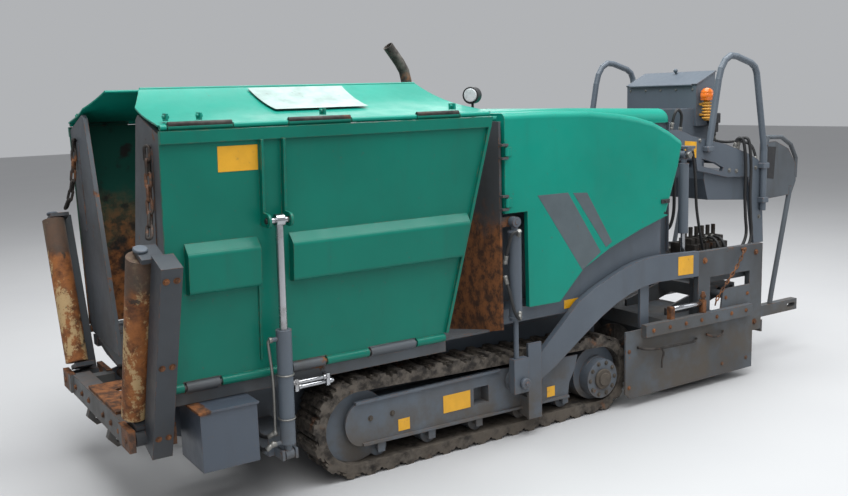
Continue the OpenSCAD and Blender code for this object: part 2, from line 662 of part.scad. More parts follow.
// Hood: a shell with rolled sides and a rolled rear end
hood_roll = 60;
hood_drop = 22;
hood_t = 8;
hood_low_z = 1440;
hood_front = wall_x - 20;
module hood() color(green) difference() {
    roll_y = hood_half - hood_roll;
    roll_x = hood_rear + hood_roll;
    roll_z = hood_z - hood_roll;
    union() {
        side_plate(-roll_y, roll_y) polygon([
            [hood_front, hood_low_z], [hood_front, hood_z], [0, hood_z], [roll_x, hood_z - hood_drop],
            [hood_rear, roll_z - hood_drop], [hood_rear, hood_low_z]]);
        both_sides() side_plate(roll_y - 1, hood_half) polygon([
            [hood_front, hood_low_z], [hood_front, roll_z], [0, roll_z], [roll_x, roll_z - hood_drop],
            [roll_x, hood_low_z]]);
        both_sides() block(hood_rear, roll_x + 1, roll_y - 1, roll_y + 1, hood_low_z, roll_z - hood_drop);
        tube([[hood_front, roll_y, roll_z], [0, roll_y, roll_z], [roll_x, roll_y, roll_z - hood_drop],
            [roll_x, -roll_y, roll_z - hood_drop], [0, -roll_y, roll_z], [hood_front, -roll_y, roll_z]],
            hood_roll + 0.3, 64);
        both_sides() rod_z(roll_x, roll_y, hood_low_z, roll_z - hood_drop, hood_roll + 0.3, 64);
    }
    // Everything below the hood's lower edge, then the hollow in three steps
    under = roll_z - hood_drop - hood_roll - 5;
    block(hood_rear - 5, hood_front + 5, -hood_half - 5, hood_half + 5, under, hood_low_z);
    block(hood_rear + hood_t, hood_front - hood_t, hood_t - roll_y, roll_y - hood_t,
        hood_low_z - 1, roll_z - hood_drop);
    block(roll_x, hood_front - hood_t, hood_t - hood_half, hood_half - hood_t,
        hood_low_z - 1, roll_z - hood_drop + 14);
    block(roll_x, hood_front - hood_t, hood_t - roll_y, roll_y - hood_t,
        hood_low_z - 1, hood_z - hood_drop - hood_t);
}

// Side cover of the engine bay, a door on hinges at its front edge
cover_t = 26;
cover_hinge_x = cover_front - 6;
cover_hinge_y = cover_y + 8;
// Middle of the cover's rolled edge, as [station, drop below the hood's top]
cover_roll = 30;
cover_edge = [[cover_front - 2, 36], [300, 36], [71, 42], [-124, 62], [-240, 81], [-352, 108],
    [-462, 155], [-545, 203], [-520, 308], [-436, 538]];
edge_path = [for (p = cover_edge) [p[0], hood_z - p[1]]];
top_n = 7;
// The path's point moved outwards by a distance
function beside(i, d) = let (a = edge_path[max(i - 1, 0)], b = edge_path[i + 1], t = (b - a) / norm(b - a))
    edge_path[i] + d * [t[1], -t[0]];
// The plate runs a little past the end of its rolled edge
cover_past = 12;
module cover_outline() {
    n = len(edge_path) - 1;
    end = edge_path[n] - edge_path[n - 1];
    polygon(concat([for (i = [0 : n - 1]) edge_path[i]], [edge_path[n] + cover_past * end / norm(end),
        [-466, 978], [-265, 922], [-60, 852], [118, 768], [266, 628], [455, 629], [460, 1080],
        [cover_front + 2, 1080]]));
}
module engine_cover() color(green) {
    side_plate(cover_y - cover_t, cover_y) cover_outline();
    tube([for (p = edge_path) [p[0], cover_y - cover_roll, p[1]]], cover_roll + 0.3, 48);
    // Shoulder that closes the bay up to the hood
    side_plate(hood_half + move_gap, cover_y - cover_roll + 5) polygon(concat(
        [for (i = [0 : top_n - 1]) beside(i, cover_roll)],
        [for (i = [top_n - 1 : -1 : 0]) beside(i, cover_roll - plate_t)]));
    for (z = [1110, 1340]) difference() {
        union() {
            rod_z(cover_hinge_x, cover_hinge_y, z, z + 40, 9, 32);
            block(cover_hinge_x - 30, cover_hinge_x, cover_y - 4, cover_y + 6, z, z + 40);
        }
        rod_z(cover_hinge_x, cover_hinge_y, z - 1, z + 41, 5 + pin_gap, 32);
    }
}

// A tube through points in X, Y and Z, with round elbows
module aim(d) rotate([0, acos(d[2] / norm(d)), atan2(d[1], d[0])]) children();
module tube(points, r, fn = 32) for (i = [1 : len(points) - 1]) {
    d = points[i] - points[i - 1];
    translate(points[i - 1]) aim(d) cylinder(r = r, h = norm(d), $fn = fn);
    if (i < len(points) - 1) translate(points[i]) aim(d) sphere(r = r + 0.4, $fn = fn);
}

// Rear frame: two sloped arms with their braces, joined under the console
arm_in_y = 441;
arm_out_y = 466;
bay_rear = hood_rear + 20;
lift_y = 560;
lift_x = -690;
lift_top_z = 1270;
module rear_frame() color(grey) {
    both_sides() {
        side_plate(arm_in_y, arm_out_y) difference() {
            polygon([
            [bay_rear, 1285], [bay_rear, 1400], [-760, 1396], [-860, 1358], [-1141, 1299], [-1344, 1232],
            [-1420, 1196], [-1452, 1160], [-1484, 706], [-1400, 706], [-1335, 1102], [-1155, 1112],
            [-905, 1165], [-890, 1240]]);
            // Slot behind the lift cylinder
            polygon([[-940, 1230], [-1046, 1202], [-1120, 1168], [-1108, 1146], [-940, 1188]]);
        }
        // Bracket and pin of the lift cylinder
        block(bay_rear - 60, bay_rear, arm_out_y - 2, lift_y + 34, 1300, 1314);
        for (s = [-1, 1])
            block(lift_x - 22, lift_x + 10, lift_y + s * 28 - 5, lift_y + s * 28 + 5, 1248, 1302);
        rod_y(lift_x, lift_y - 30, lift_y + 30, lift_top_z, 12, 32);
    }
    // Cross box between the arms, with the supports of the console's pedestal
    block(-1330, -1290, -arm_in_y - 1, arm_in_y + 1, 1172, 1200);
    block(-1150, -1110, -300, 300, 1130, 1200);
    side_plate(-arm_in_y - 1, arm_in_y + 1) polygon([
        [-1338, 1140], [-1344, 966], [-1020, 992], [-985, 1110], [-985, 1170], [-1150, 1140]]);
}

// Console on its pedestal, hollow under its lid
console_front = -1107;
console_rear = -1262;
console_half = 275;
console_low_z = 1634;
console_high_z = 1704;
console_slope = atan2(console_high_z - console_low_z, console_front - console_rear);
module console() color(grey) {
    block(-1330, -1000, -250, 250, 1200, 1206);
    block(-1248, -1010, -250, 250, 1206, 1402);
    block(console_front, -995, -255, 255, 1206, 1500);
    difference() {
        side_plate(-console_half, console_half) polygon([
            [console_front, 1400], [console_front, console_low_z], [console_rear, console_high_z],
            [console_rear, 1400]]);
        side_plate(-console_half + sheet_t, console_half - sheet_t) polygon([
            [console_front - sheet_t, 1480], [console_front - sheet_t, 1800],
            [console_rear + sheet_t, 1800], [console_rear + sheet_t, 1480]]);
    }
}
lid_out = 8;
lid_hinge_z = console_low_z - lid_out * tan(console_slope) + rest_gap / cos(console_slope);
module console_lid() color(grey)
    translate([console_front + lid_out, 0, lid_hinge_z]) rotate([0, console_slope, 0]) {
    block(-186, -6, -console_half - 4, console_half + 4, 0, 8);
    rod_y(0, -console_half + 30, console_half - 30, 4, 6, 24);
    block(-10, 0, -console_half + 30, console_half - 30, 0, 8);
    // Handle on the free edge
    rod_z(-160, 0, 7, 22, 7, 24);
    translate([-160, 0, 28]) sphere(r = 13, $fn = 32);
}

// Handrail hoops outside the sloped arms
rail_r = 18;
rail_y = arm_out_y + rail_r;
module handrails() color(grey) both_sides() tube([
    [-968, rail_y, 1260], [-1043, rail_y, 1658], [-1062, rail_y, 1718], [-1094, rail_y, 1764],
    [-1139, rail_y, 1788], [-1190, rail_y, 1784], [-1310, rail_y, 1748], [-1346, rail_y, 1725],
    [-1364, rail_y, 1690], [-1447, rail_y, 1250], [-1448, rail_y, 899]], rail_r);

// Exhaust with its bent end
module exhaust() color("#6e6a66") difference() {
    union() {
        tube([[500, -280, hood_z + 4], [506, -280, 1700], [518, -280, 1750], [545, -280, 1795],
            [612, -280, 1880]], 28);
        rod_z(500, -280, hood_z, hood_z + 12, 44);
    }
    tube([[506, -280, 1702], [518, -280, 1750], [545, -280, 1795], [640, -280, 1916]], 24);
}

// Work lamps on stalks above the hopper's rear wall
lamp_y = 452;
lamp_z = 1614;
lamp_turn = 35;
module work_lamp() both_sides() {
    color(grey) {
        block(wall_x - plate_t, wall_x, lamp_y - 25, lamp_y + 25, 1495, 1503);
        rod_z(wall_x - 6, lamp_y, 1500, lamp_z - 30, 6, 24);
    }
    translate([wall_x - 6, lamp_y, lamp_z]) rotate(lamp_turn) {
        color(dark) {
            rod_x(-22, 22, 0, 0, 38);
            rod_x(-38, -21, 0, 0, 24);
        }
        color(bright) rod_x(21, 28, 0, 0, 33);
    }
}

// Levelling cylinders down to the tow points
level_x = 546;
level_y = 674;
module levelling_cylinders() both_sides() {
    color(grey) {
        rod_y(level_x, 650, 694, 1041, 11, 32);
        rod_y(level_x, level_y - 18, level_y + 18, 1041, 24, 32);
        rod_z(level_x, level_y, 1000, 1025, 16, 32);
        rod_z(level_x, level_y, 583, 1003, 30);
        block(tow_x - 30, level_x + 28, tow_arm_y + tow_arm_t + move_gap, level_y + 20, tow_z - 46, 400);
        rod_y(tow_x, frame_out_y, level_y + 34, tow_z, 20, 32);
    }
    color(bright) rod_z(level_x, level_y, 395, 590, 12, 32);
}
// Guide post behind the tow point, part of the track frame
module tow_post() color(grey) {
    post_y = tow_arm_y + tow_arm_t + move_gap;
    block(390, 470, post_y, post_y + 14, 85, 455);
    block(396, 464, frame_out_y - 1, post_y + 1, 90, 190);
}

// Auger gear case at the conveyor's end, and the augers on either side
auger_shaft_r = 25;
module auger_drive() color(grey) difference() {
    union() {
        rod_y(auger_x, -42, 42, auger_z, 62);
        block(auger_x - 20, chassis_rear, -42, 42, auger_z - 30, auger_z + 45);
    }
    both_sides() rod_y(auger_x, 18, 50, auger_z, auger_shaft_r + pin_gap);
}
flight_turns = 2.25;
flight_steps = 48;
flight_l = 495;
flight_t = 9;
// The flight is a helical blade: four corners a step, from root to rim and back
function blade(i, r, dy) = let (a = i * 360 * flight_turns / flight_steps)
    [r * cos(a), i * flight_l / flight_steps + dy, r * sin(a)];
blade_points = [for (i = [0 : flight_steps]) each [
    blade(i, auger_shaft_r - 4, 0), blade(i, auger_r, 0),
    blade(i, auger_r, flight_t), blade(i, auger_shaft_r - 4, flight_t)]];
blade_faces = [[0, 1, 2], [0, 2, 3],
    for (i = [0 : flight_steps - 1], k = [0 : 3]) let (a = 4 * i + k, b = 4 * i + (k + 1) % 4)
        each [[a, a + 4, b + 4], [a, b + 4, b]],
    [4 * flight_steps, 4 * flight_steps + 2, 4 * flight_steps + 1],
    [4 * flight_steps, 4 * flight_steps + 3, 4 * flight_steps + 2]];
module auger() color(dark) {
    rod_y(auger_x, 24, 575, auger_z, auger_shaft_r);
    translate([auger_x, 62, auger_z]) polyhedron(blade_points, blade_faces);
}

// Tow arms, curved over the sprockets
tow_outline = [
    [tow_x - 85, 340], [136, 603], [20, 662], [-94, 706], [-180, 736], [-264, 756], [-350, 766],
    [-440, 768], [-577, 763], [-720, 757], [-720, 622], [-412, 631], [-310, 620], [-223, 600],
    [-120, 562], [-13, 506], [120, 420], [281, 312], [tow_x - 128, 251], [tow_x, tow_z - 50]];
module tow_arms() color(grey) both_sides() {
    difference() {
        union() {
            side_plate(tow_arm_y, tow_arm_y + tow_arm_t) polygon(tow_outline);
            rod_y(tow_x, tow_arm_y, tow_arm_y + tow_arm_t, tow_z, 52);
        }
        rod_y(tow_x, tow_arm_y - 5, tow_arm_y + tow_arm_t + 5, tow_z, 20 + pin_gap);
    }
    rod_y(lift_x, lift_y - 24, tow_arm_y + 1, lift_low_z, 14, 32);
    // Strap down to the screed's front
    block(-377, -314, tow_arm_y - 14, tow_arm_y + 1, 400, 640);
}

// Screed body with its side frames and the guides of its extensions
lift_low_z = 700;
body_front = -500;
body_rear = -880;
ext_front = body_rear - 14;
ext_rear = -1130;
guide_z = 490;
guide_r = 22;
guide_x = [-935, -985, -1035, -1085];
module screed_body() color(grey) {
    side_plate(-screed_half, screed_half) polygon([
        [body_front, sole_z + 14], [body_front, 330], [body_front - 50, 392], [body_rear, 392],
        [body_rear, sole_z], [body_front - 14, sole_z]]);
    both_sides() {
        // Side frame: front post, top beam and rear post
        side_plate(612, 645) {
            polygon([[-815, 300], [-815, 745], [-720, 752], [-720, 300]]);
            polygon([[-1248, 745], [-720, 752], [-720, 606], [-1140, 600], [-1140, 250], [-1248, 250]]);
        }
        block(-815, -720, screed_half - 1, 613, 300, 391);
        // Hanger between body and rear post
        block(-1240, body_rear + 40, 570, 600, 560, 600);
        block(-1240, -1160, 590, 613, 560, 600);
        block(-815, -735, 570, 613, 391, 600);
    }
    difference() {
        union() {
            block(guide_x[3] - 34, guide_x[0] + 34, -560, 560, guide_z - 34, guide_z + 34);
            // Brackets that carry the guides on the body
            both_sides() for (y = [180, 480])
                side_plate(y, y + 14) polygon([[-640, 391], [-640, 430], [-930, 500],
                    [guide_x[3] - 30, 460], [guide_x[3] - 30, guide_z - 33], [body_rear, 391]]);
        }
        for (x = guide_x) rod_y(x, -570, 570, guide_z, guide_r + 0.5, 32);
    }
}

// Extension with its sole, end gate, side beam and guide tubes
gate_y = 655;
module screed_extension(tube_x) color(grey) {
    block(ext_rear, ext_front, 5, 640, sole_z, 330);
    block(ext_rear, ext_front, 639, gate_y + 1, sole_z, 330);
    side_plate(gate_y, gate_y + 10) polygon([
        [-164, 78], [-164, 405], [-880, 405], [-900, 530], [-1120, 530], [-1150, 300], [-1150, sole_z],
        [-200, sole_z]]);
    side_plate(gate_y + 9, gate_y + 44) polygon([[-276, 366], [-276, 430], [-1105, 424], [-1105, 360]]);
    for (x = tube_x) rod_y(x, -300, gate_y + 1, guide_z, guide_r, 32);
}

// Walkway frame behind the screed: bracket, poles, side plates and low hoops
module walkway_frame() color(grey) both_sides() {
    difference() {
        block(-1882, -1259, 380, 425, 232, 300);
        for (x = [-1850, -1800]) rod_y(x, 370, 435, 266, 13);
        block(-1850, -1800, 370, 435, 253.1, 278.9);
    }
    block(-1260, -1248, 380, 646, 232, 300);
    tube([[-1634, 412, 300], [-1655, 412, 400], [-1787, 412, 960], [-1787, 412, 1010]], 15);
    side_plate(404, 420) polygon([
        [-1512, 985], [-1512, 1282], [-1640, 1290], [-1760, 1240], [-1830, 1150], [-1840, 1040],
        [-1800, 960], [-1560, 950]]);
    tube([[-1560, 412, 1270], [-1572, 412, 1317], [-1700, 412, 1311], [-1790, 412, 1262],
        [-1842, 412, 1180], [-1838, 412, 1060]], 13);
}

// Lift cylinder from the rear frame to the tow arm, in its own frame with Z down the cylinder
lift_l = lift_top_z - lift_low_z;
module in_lift() translate([lift_x, lift_y, lift_top_z]) rotate([180, 0, 0]) children();
module lift_barrel() color(grey) in_lift() {
    difference() {
        union() {
            rod_y(0, -18, 18, 0, 22, 32);
            rod_z(0, 0, 0, 46, 15, 32);
        }
        rod_y(0, -20, 20, 0, 12 + pin_gap, 32);
    }
    difference() {
        rod_z(0, 0, 45, 420, 27);
        rod_z(0, 0, 55, 421, 12.5);
    }
}
module lift_rod() color(bright) in_lift() {
    rod_z(0, 0, 145, lift_l - 24, 12, 32);
    difference() {
        rod_y(0, -14, 14, lift_l, 28, 32);
        rod_y(0, -16, 16, lift_l, 19, 32);
    }
}

// Valve bank of the screed, on a deck between its side frames
valve_n = 6;
valve_pitch = 48;
module valve_block() {
    color(grey) block(-1236, -930, -612, 612, 640, 648);
    for (i = [0 : valve_n - 1]) {
        x = -1222 + i * valve_pitch;
        color(bright) {
            block(x, x + 36, 240, 420, 648, 736);
            block(x + 4, x + 32, 300, 392, 735, 768);
        }
        color(dark) {
            rod_z(x + 18, 330, 767, 826, 12, 24);
            rod_y(x + 18, 418, 452, 690, 13, 24);
        }
    }
}

at_origin() chassis();
at_origin() hopper_base();
at_origin() hopper_rear_wall();
at_origin() bar_conveyor();
at_origin() front_crossmember();
at_origin() hitch_plate();
at_origin() tow_hooks();
at_origin() tool_box();
at_origin() track_frame();  // track_frame_left
at_origin() on_side(-1) track_frame();  // track_frame_right
at_origin() track();  // track_left
at_origin() on_side(-1) track();  // track_right
at_origin() engine_block();
at_origin() engine_bay();
at_origin() hood();
at_origin() engine_cover();  // engine_cover_left
at_origin() on_side(-1) engine_cover();  // engine_cover_right
at_origin() rear_frame();
at_origin() valve_block();
at_origin() console();
at_origin() console_lid();
at_origin() handrails();
at_origin() exhaust();
at_origin() work_lamp();
at_origin() levelling_cylinders();
at_origin() auger_drive();
at_origin() auger();  // auger_left
at_origin() on_side(-1) auger();  // auger_right
at_origin() wing();  // wing_left
at_origin() on_side(-1) wing();  // wing_right
at_origin() wing_flange();  // wing_flange_left
at_origin() on_side(-1) wing_flange();  // wing_flange_right
at_origin() roof_flap();  // roof_flap_left
at_origin() on_side(-1) roof_flap();  // roof_flap_right
at_origin() wing_barrel();  // wing_barrel_left
at_origin() on_side(-1) wing_barrel();  // wing_barrel_right
at_origin() wing_rod();  // wing_rod_left
at_origin() on_side(-1) wing_rod();  // wing_rod_right
at_origin() push_arm();  // push_arm_left
at_origin() on_side(-1) push_arm();  // push_arm_right
at_origin() push_roller();  // push_roller_left
at_origin() on_side(-1) push_roller();  // push_roller_right
at_origin() tow_arms();
at_origin() screed_body();
at_origin() walkway_frame();
at_origin() screed_extension([guide_x[0], guide_x[2]]);  // screed_extension_left
at_origin() on_side(-1) screed_extension([guide_x[1], guide_x[3]]);  // screed_extension_right
at_origin() lift_barrel();  // lift_barrel_left
at_origin() on_side(-1) lift_barrel();  // lift_barrel_right
at_origin() lift_rod();  // lift_rod_left
at_origin() on_side(-1) lift_rod();  // lift_rod_right
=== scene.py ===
"""Asphalt paver: materials, fittings, floor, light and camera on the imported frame."""
import math
import random

import bmesh
import bpy
from mathutils import Matrix, Vector


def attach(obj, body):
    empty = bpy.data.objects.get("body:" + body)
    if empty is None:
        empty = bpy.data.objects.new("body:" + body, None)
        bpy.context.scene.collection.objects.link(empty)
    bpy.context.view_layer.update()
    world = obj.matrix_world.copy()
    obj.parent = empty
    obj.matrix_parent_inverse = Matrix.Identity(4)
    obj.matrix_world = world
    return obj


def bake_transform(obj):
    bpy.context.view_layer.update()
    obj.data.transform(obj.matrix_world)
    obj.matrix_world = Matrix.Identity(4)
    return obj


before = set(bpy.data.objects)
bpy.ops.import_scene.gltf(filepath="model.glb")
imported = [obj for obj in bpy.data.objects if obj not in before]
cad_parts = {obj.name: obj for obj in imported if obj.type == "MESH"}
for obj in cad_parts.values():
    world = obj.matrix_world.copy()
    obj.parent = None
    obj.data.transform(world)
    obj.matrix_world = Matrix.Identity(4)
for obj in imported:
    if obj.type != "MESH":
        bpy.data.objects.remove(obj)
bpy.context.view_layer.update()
scene = bpy.context.scene
SIDES = (("left", 1), ("right", -1))

# Stations are millimetres forward of the tractor's zero station, as in the CAD
ORIGIN_X = 214.0
HINGE_Y, HINGE_Z, WING_LEAN = 617.0, 551.0, math.radians(4.2)
PIVOT_Y, PIVOT_Z, ARM_LEAN = 500.0, 355.0, math.radians(20.3)
WING_CYLINDER_X, CYLINDER_FOOT_Y, CYLINDER_FOOT_Z, CYLINDER_LEAN = 1722, 692, 224, math.radians(1.846)
MEMBER_FRONT_X, MEMBER_BOLT_Z = 2290, 348
# Outer faces that carry labels and bolts
TRACK_FRAME_Y, REAR_ARM_Y, TOW_ARM_Y, SIDE_PLATE_Y, BAY_Y, COVER_Y = 598, 466, 648, 420, 606, 662.0
LABEL_GAP, LABEL_THICK = 0.2, 1.0


def metres(p):
    """A station point in millimetres as a row point in metres."""
    return Vector(((p[0] - ORIGIN_X) / 1000, p[1] / 1000, p[2] / 1000))


def on_wing(x, out, up):
    """A point of the folded left wing: out from its skin, up from its hinge."""
    c, s = math.cos(WING_LEAN), math.sin(WING_LEAN)
    return (x, HINGE_Y + out * c + up * s, HINGE_Z - out * s + up * c)


def on_arm(x, out, up):
    """A point of the folded left push arm: out from its pivot, up along it."""
    c, s = math.cos(ARM_LEAN), math.sin(ARM_LEAN)
    return (x, PIVOT_Y + out * c + up * s, PIVOT_Z - out * s + up * c)


def circle(n):
    """The angles of n points around a circle."""
    return [2 * math.pi * i / n for i in range(n)]


class Piece:
    """Collects simple solids, in station millimetres, into one mesh object."""

    def __init__(self, side=1):
        self.bm = bmesh.new()
        self.side = side

    def _place(self, verts):
        for v in verts:
            v.co = metres((v.co[0], v.co[1] * self.side, v.co[2]))

    def box(self, x0, x1, y0, y1, z0, z1, bevel=2.0):
        made = bmesh.ops.create_cube(self.bm, size=1.0)["verts"]
        for v in made:
            v.co = Vector((x0 if v.co.x < 0 else x1, y0 if v.co.y < 0 else y1, z0 if v.co.z < 0 else z1))
        if bevel:
            edges = list(dict.fromkeys(e for v in made for e in v.link_edges))
            out = bmesh.ops.bevel(self.bm, geom=edges, offset=bevel, segments=2, affect="EDGES", profile=0.5)
            made = dict.fromkeys(v for f in out["faces"] for v in f.verts)
        self._place(made)

    def _skin(self, loops, closed=False, smooth=True):
        """Faces between rings of points, with ends unless the last ring meets the first."""
        n = len(loops[0])
        for p, q in list(zip(loops, loops[1:])) + ([(loops[-1], loops[0])] if closed else []):
            for i in range(n):
                f = self.bm.faces.new((p[i], p[(i + 1) % n], q[(i + 1) % n], q[i]))
                f.smooth = smooth
        if not closed:
            self.bm.faces.new(loops[0][::-1])
            self.bm.faces.new(loops[-1])
        self._place([v for loop in loops for v in loop])

    def rod(self, a, b, r, n=20, bevel=1.0, r2=None):
        """A cylinder or cone between two points, with its end edges broken."""
        a, b = Vector(a), Vector(b)
        d = (b - a).normalized()
        u = d.orthogonal().normalized()
        w = d.cross(u)
        r2 = r if r2 is None else r2
        length = (b - a).length
        k = min(bevel, r * 0.4, length * 0.4)
        rings = [(0, r - k), (k, r), (length - k, r2), (length, r2 - k)]
        loops = []
        for s, rad in rings:
            loops.append([self.bm.verts.new(a + d * s + (u * math.cos(t) + w * math.sin(t)) * rad)
                          for t in circle(n)])
        self._skin(loops)

    def tube(self, points, r, n=12, closed=False):
        """A round bar swept along a smooth path."""
        pts = [Vector(p) for p in points]
        m = len(pts)
        loops = []
        u = None
        for i, p in enumerate(pts):
            if closed:
                d = (pts[(i + 1) % m] - pts[i - 1]).normalized()
            else:
                d = (pts[min(i + 1, m - 1)] - pts[max(i - 1, 0)]).normalized()
            u = d.orthogonal().normalized() if u is None else (u - d * u.dot(d)).normalized()
            w = d.cross(u)
            loops.append([self.bm.verts.new(p + (u * math.cos(t) + w * math.sin(t)) * r) for t in circle(n)])
        self._skin(loops, closed)

    def plate(self, outline, normal, bevel=0.0):
        """A flat plate: its outline in space, thickened along normal."""
        n = Vector(normal)
        low = [self.bm.verts.new(Vector(p)) for p in outline]
        high = [self.bm.verts.new(Vector(p) + n) for p in outline]
        self.bm.faces.new(low[::-1])
        top = self.bm.faces.new(high)
        for i in range(len(low)):
            j = (i + 1) % len(low)
            self.bm.faces.new((low[i], low[j], high[j], high[i]))
        made = low + high
        if bevel:
            out = bmesh.ops.bevel(self.bm, geom=list(top.edges), offset=bevel, segments=2, affect="EDGES",
                                  profile=0.5)
            made = dict.fromkeys([v for f in out["faces"] for v in f.verts] + low)
        self._place(made)

    def sheet(self, rows, thick):
        """A thin sheet through rows of two points each, thickened along thick."""
        n = Vector(thick)
        loops = []
        for a, b in rows:
            a, b = Vector(a), Vector(b)
            loops.append([self.bm.verts.new(v) for v in (a, b, b + n, a + n)])
        self._skin(loops, smooth=False)

    def bolt(self, p, axis, r=8.0, h=6.0):
        """A hexagon head on its washer."""
        p, axis = Vector(p), Vector(axis).normalized()
        self.rod(p - axis * 1.0, p + axis * 1.6, r * 1.45, 16, 0.4)
        self.rod(p + axis * 1.0, p + axis * (1.6 + h), r, 6, 1.0)

    def label(self, corners, y, thick=LABEL_THICK):
        """A blank plate on a face that looks along Y, from (x, z) corners."""
        self.plate([(x, y + LABEL_GAP, z) for x, z in corners], (0, thick, 0))

    def done(self, name, material, body, slot):
        bmesh.ops.recalc_face_normals(self.bm, faces=self.bm.faces)
        mesh = bpy.data.meshes.new(name)
        self.bm.to_mesh(mesh)
        self.bm.free()
        mesh.materials.append(material)
        obj = bpy.data.objects.new(name, mesh)
        scene.collection.objects.link(obj)
        if body:
            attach(obj, body)
        return obj


def smooth_path(points, steps=8):
    """A Catmull-Rom curve through the points."""
    p = [Vector(q) for q in points]
    p = [p[0] * 2 - p[1]] + p + [p[-1] * 2 - p[-2]]
    out = []
    for i in range(1, len(p) - 2):
        for k in range(steps):
            t = k / steps
            a, b, c, d = p[i - 1], p[i], p[i + 1], p[i + 2]
            out.append(0.5 * (2 * b + (c - a) * t + (2 * a - 5 * b + 4 * c - d) * t * t
                              + (3 * b - a - 3 * c + d) * t ** 3))
    out.append(p[-2])
    return out


CHIP_WIDTH, BEVEL_SAMPLES, COAT_ROUGHNESS = 0.006, 4, 0.12


class Nodes:
    """Short names for building a node tree."""

    def __init__(self, name):
        self.mat = bpy.data.materials.new(name)
        self.mat.use_nodes = True
        self.tree = self.mat.node_tree
        self.tree.nodes.clear()
        self.out = self.new("ShaderNodeOutputMaterial")
        self.bsdf = self.new("ShaderNodeBsdfPrincipled")
        self.link(self.bsdf.outputs[0], self.out.inputs[0])
        self.coord = self.new("ShaderNodeTexCoord").outputs["Object"]

    def new(self, kind, **settings):
        n = self.tree.nodes.new(kind)
        for k, v in settings.items():
            setattr(n, k, v)
        return n

    def link(self, a, b):
        self.tree.links.new(a, b)

    def feed(self, socket, value):
        if isinstance(value, (int, float)):
            socket.default_value = value
        elif isinstance(value, (tuple, list)):
            socket.default_value = (*value, 1.0) if len(value) == 3 else value
        else:
            self.link(value, socket)

    def noise(self, scale, detail=4.0, rough=0.55, stretch=None, distort=0.0):
        n = self.new("ShaderNodeTexNoise")
        n.inputs["Scale"].default_value = scale
        n.inputs["Detail"].default_value = detail
        n.inputs["Roughness"].default_value = rough
        n.inputs["Distortion"].default_value = distort
        if stretch:
            m = self.new("ShaderNodeMapping")
            m.inputs["Scale"].default_value = stretch
            self.link(self.coord, m.inputs["Vector"])
            self.link(m.outputs[0], n.inputs["Vector"])
        else:
            self.link(self.coord, n.inputs["Vector"])
        return n.outputs["Fac"]

    def ramp(self, value, low, high):
        """0 below low, 1 above high."""
        n = self.new("ShaderNodeMapRange", interpolation_type="SMOOTHSTEP")
        n.clamp = True
        self.feed(n.inputs["Value"], value)
        n.inputs["From Min"].default_value = low
        n.inputs["From Max"].default_value = high
        return n.outputs["Result"]

    def math(self, op, a, b=0.0):
        n = self.new("ShaderNodeMath", operation=op)
        self.feed(n.inputs[0], a)
        self.feed(n.inputs[1], b)
        return n.outputs[0]

    def mix(self, fac, a, b):
        n = self.new("ShaderNodeMix", data_type="RGBA")
        self.feed(n.inputs["Factor"], fac)
        self.feed(n.inputs[6], a)
        self.feed(n.inputs[7], b)
        return n.outputs[2]

    def blend(self, fac, a, b):
        n = self.new("ShaderNodeMix", data_type="FLOAT")
        self.feed(n.inputs["Factor"], fac)
        self.feed(n.inputs[2], a)
        self.feed(n.inputs[3], b)
        return n.outputs[0]

    def place(self):
        """The surface point, split into X, Y and Z in metres."""
        split = self.new("ShaderNodeSeparateXYZ")
        self.link(self.coord, split.inputs[0])
        return split.outputs

    def height(self):
        return self.place()["Z"]

    def edges(self):
        """Where the surface turns a sharp corner."""
        bev = self.new("ShaderNodeBevel", samples=BEVEL_SAMPLES)
        bev.inputs["Radius"].default_value = CHIP_WIDTH
        geo = self.new("ShaderNodeNewGeometry")
        dot = self.new("ShaderNodeVectorMath", operation="DOT_PRODUCT")
        self.link(bev.outputs[0], dot.inputs[0])
        self.link(geo.outputs["Normal"], dot.inputs[1])
        return self.ramp(dot.outputs["Value"], 0.99, 0.86)

    def finish(self, colour, rough, metallic=0.0, bump=None, bump_size=0.001, strength=0.5, coat=0.0,
               round_edges=0.0025, shine=0.5):
        b = self.bsdf.inputs
        self.feed(b["Base Color"], colour)
        self.feed(b["Roughness"], rough)
        self.feed(b["Metallic"], metallic)
        b["Specular IOR Level"].default_value = shine
        b["Coat Weight"].default_value = coat
        b["Coat Roughness"].default_value = COAT_ROUGHNESS
        normal = None
        if round_edges:
            bev = self.new("ShaderNodeBevel", samples=BEVEL_SAMPLES)
            bev.inputs["Radius"].default_value = round_edges
            normal = bev.outputs[0]
        if bump is not None:
            n = self.new("ShaderNodeBump")
            n.inputs["Strength"].default_value = strength
            n.inputs["Distance"].default_value = bump_size
            self.link(bump, n.inputs["Height"])
            if normal:
                self.link(normal, n.inputs["Normal"])
            normal = n.outputs[0]
        if normal:
            self.link(normal, b["Normal"])
        return self.mat


RUST_DARK = (0.050, 0.021, 0.010)
RUST_LIGHT = (0.235, 0.085, 0.025)
MUD = (0.085, 0.070, 0.055)
TAR = (0.012, 0.011, 0.010)


def rust_colour(t):
    return t.mix(t.ramp(t.noise(22, 6, 0.7), 0.38, 0.62), RUST_DARK, RUST_LIGHT)


def wall_rust(t):
    """The hopper's rear wall is bare and rusty over its lower half."""
    ragged = t.math("ADD", t.height(), t.math("MULTIPLY", t.noise(4.5, 7, 0.6), 0.55))
    return t.ramp(ragged, 1.42, 1.28)


def member_rust(t):
    """The crossmember's top plate and its end faces are bare."""
    p = t.place()
    top = t.ramp(p["Z"], 0.3955, 0.3975)
    end = t.ramp(t.math("ABSOLUTE", p["Y"]), 0.43, 0.45)
    return t.math("MAXIMUM", top, t.math("MULTIPLY", end, 0.8))


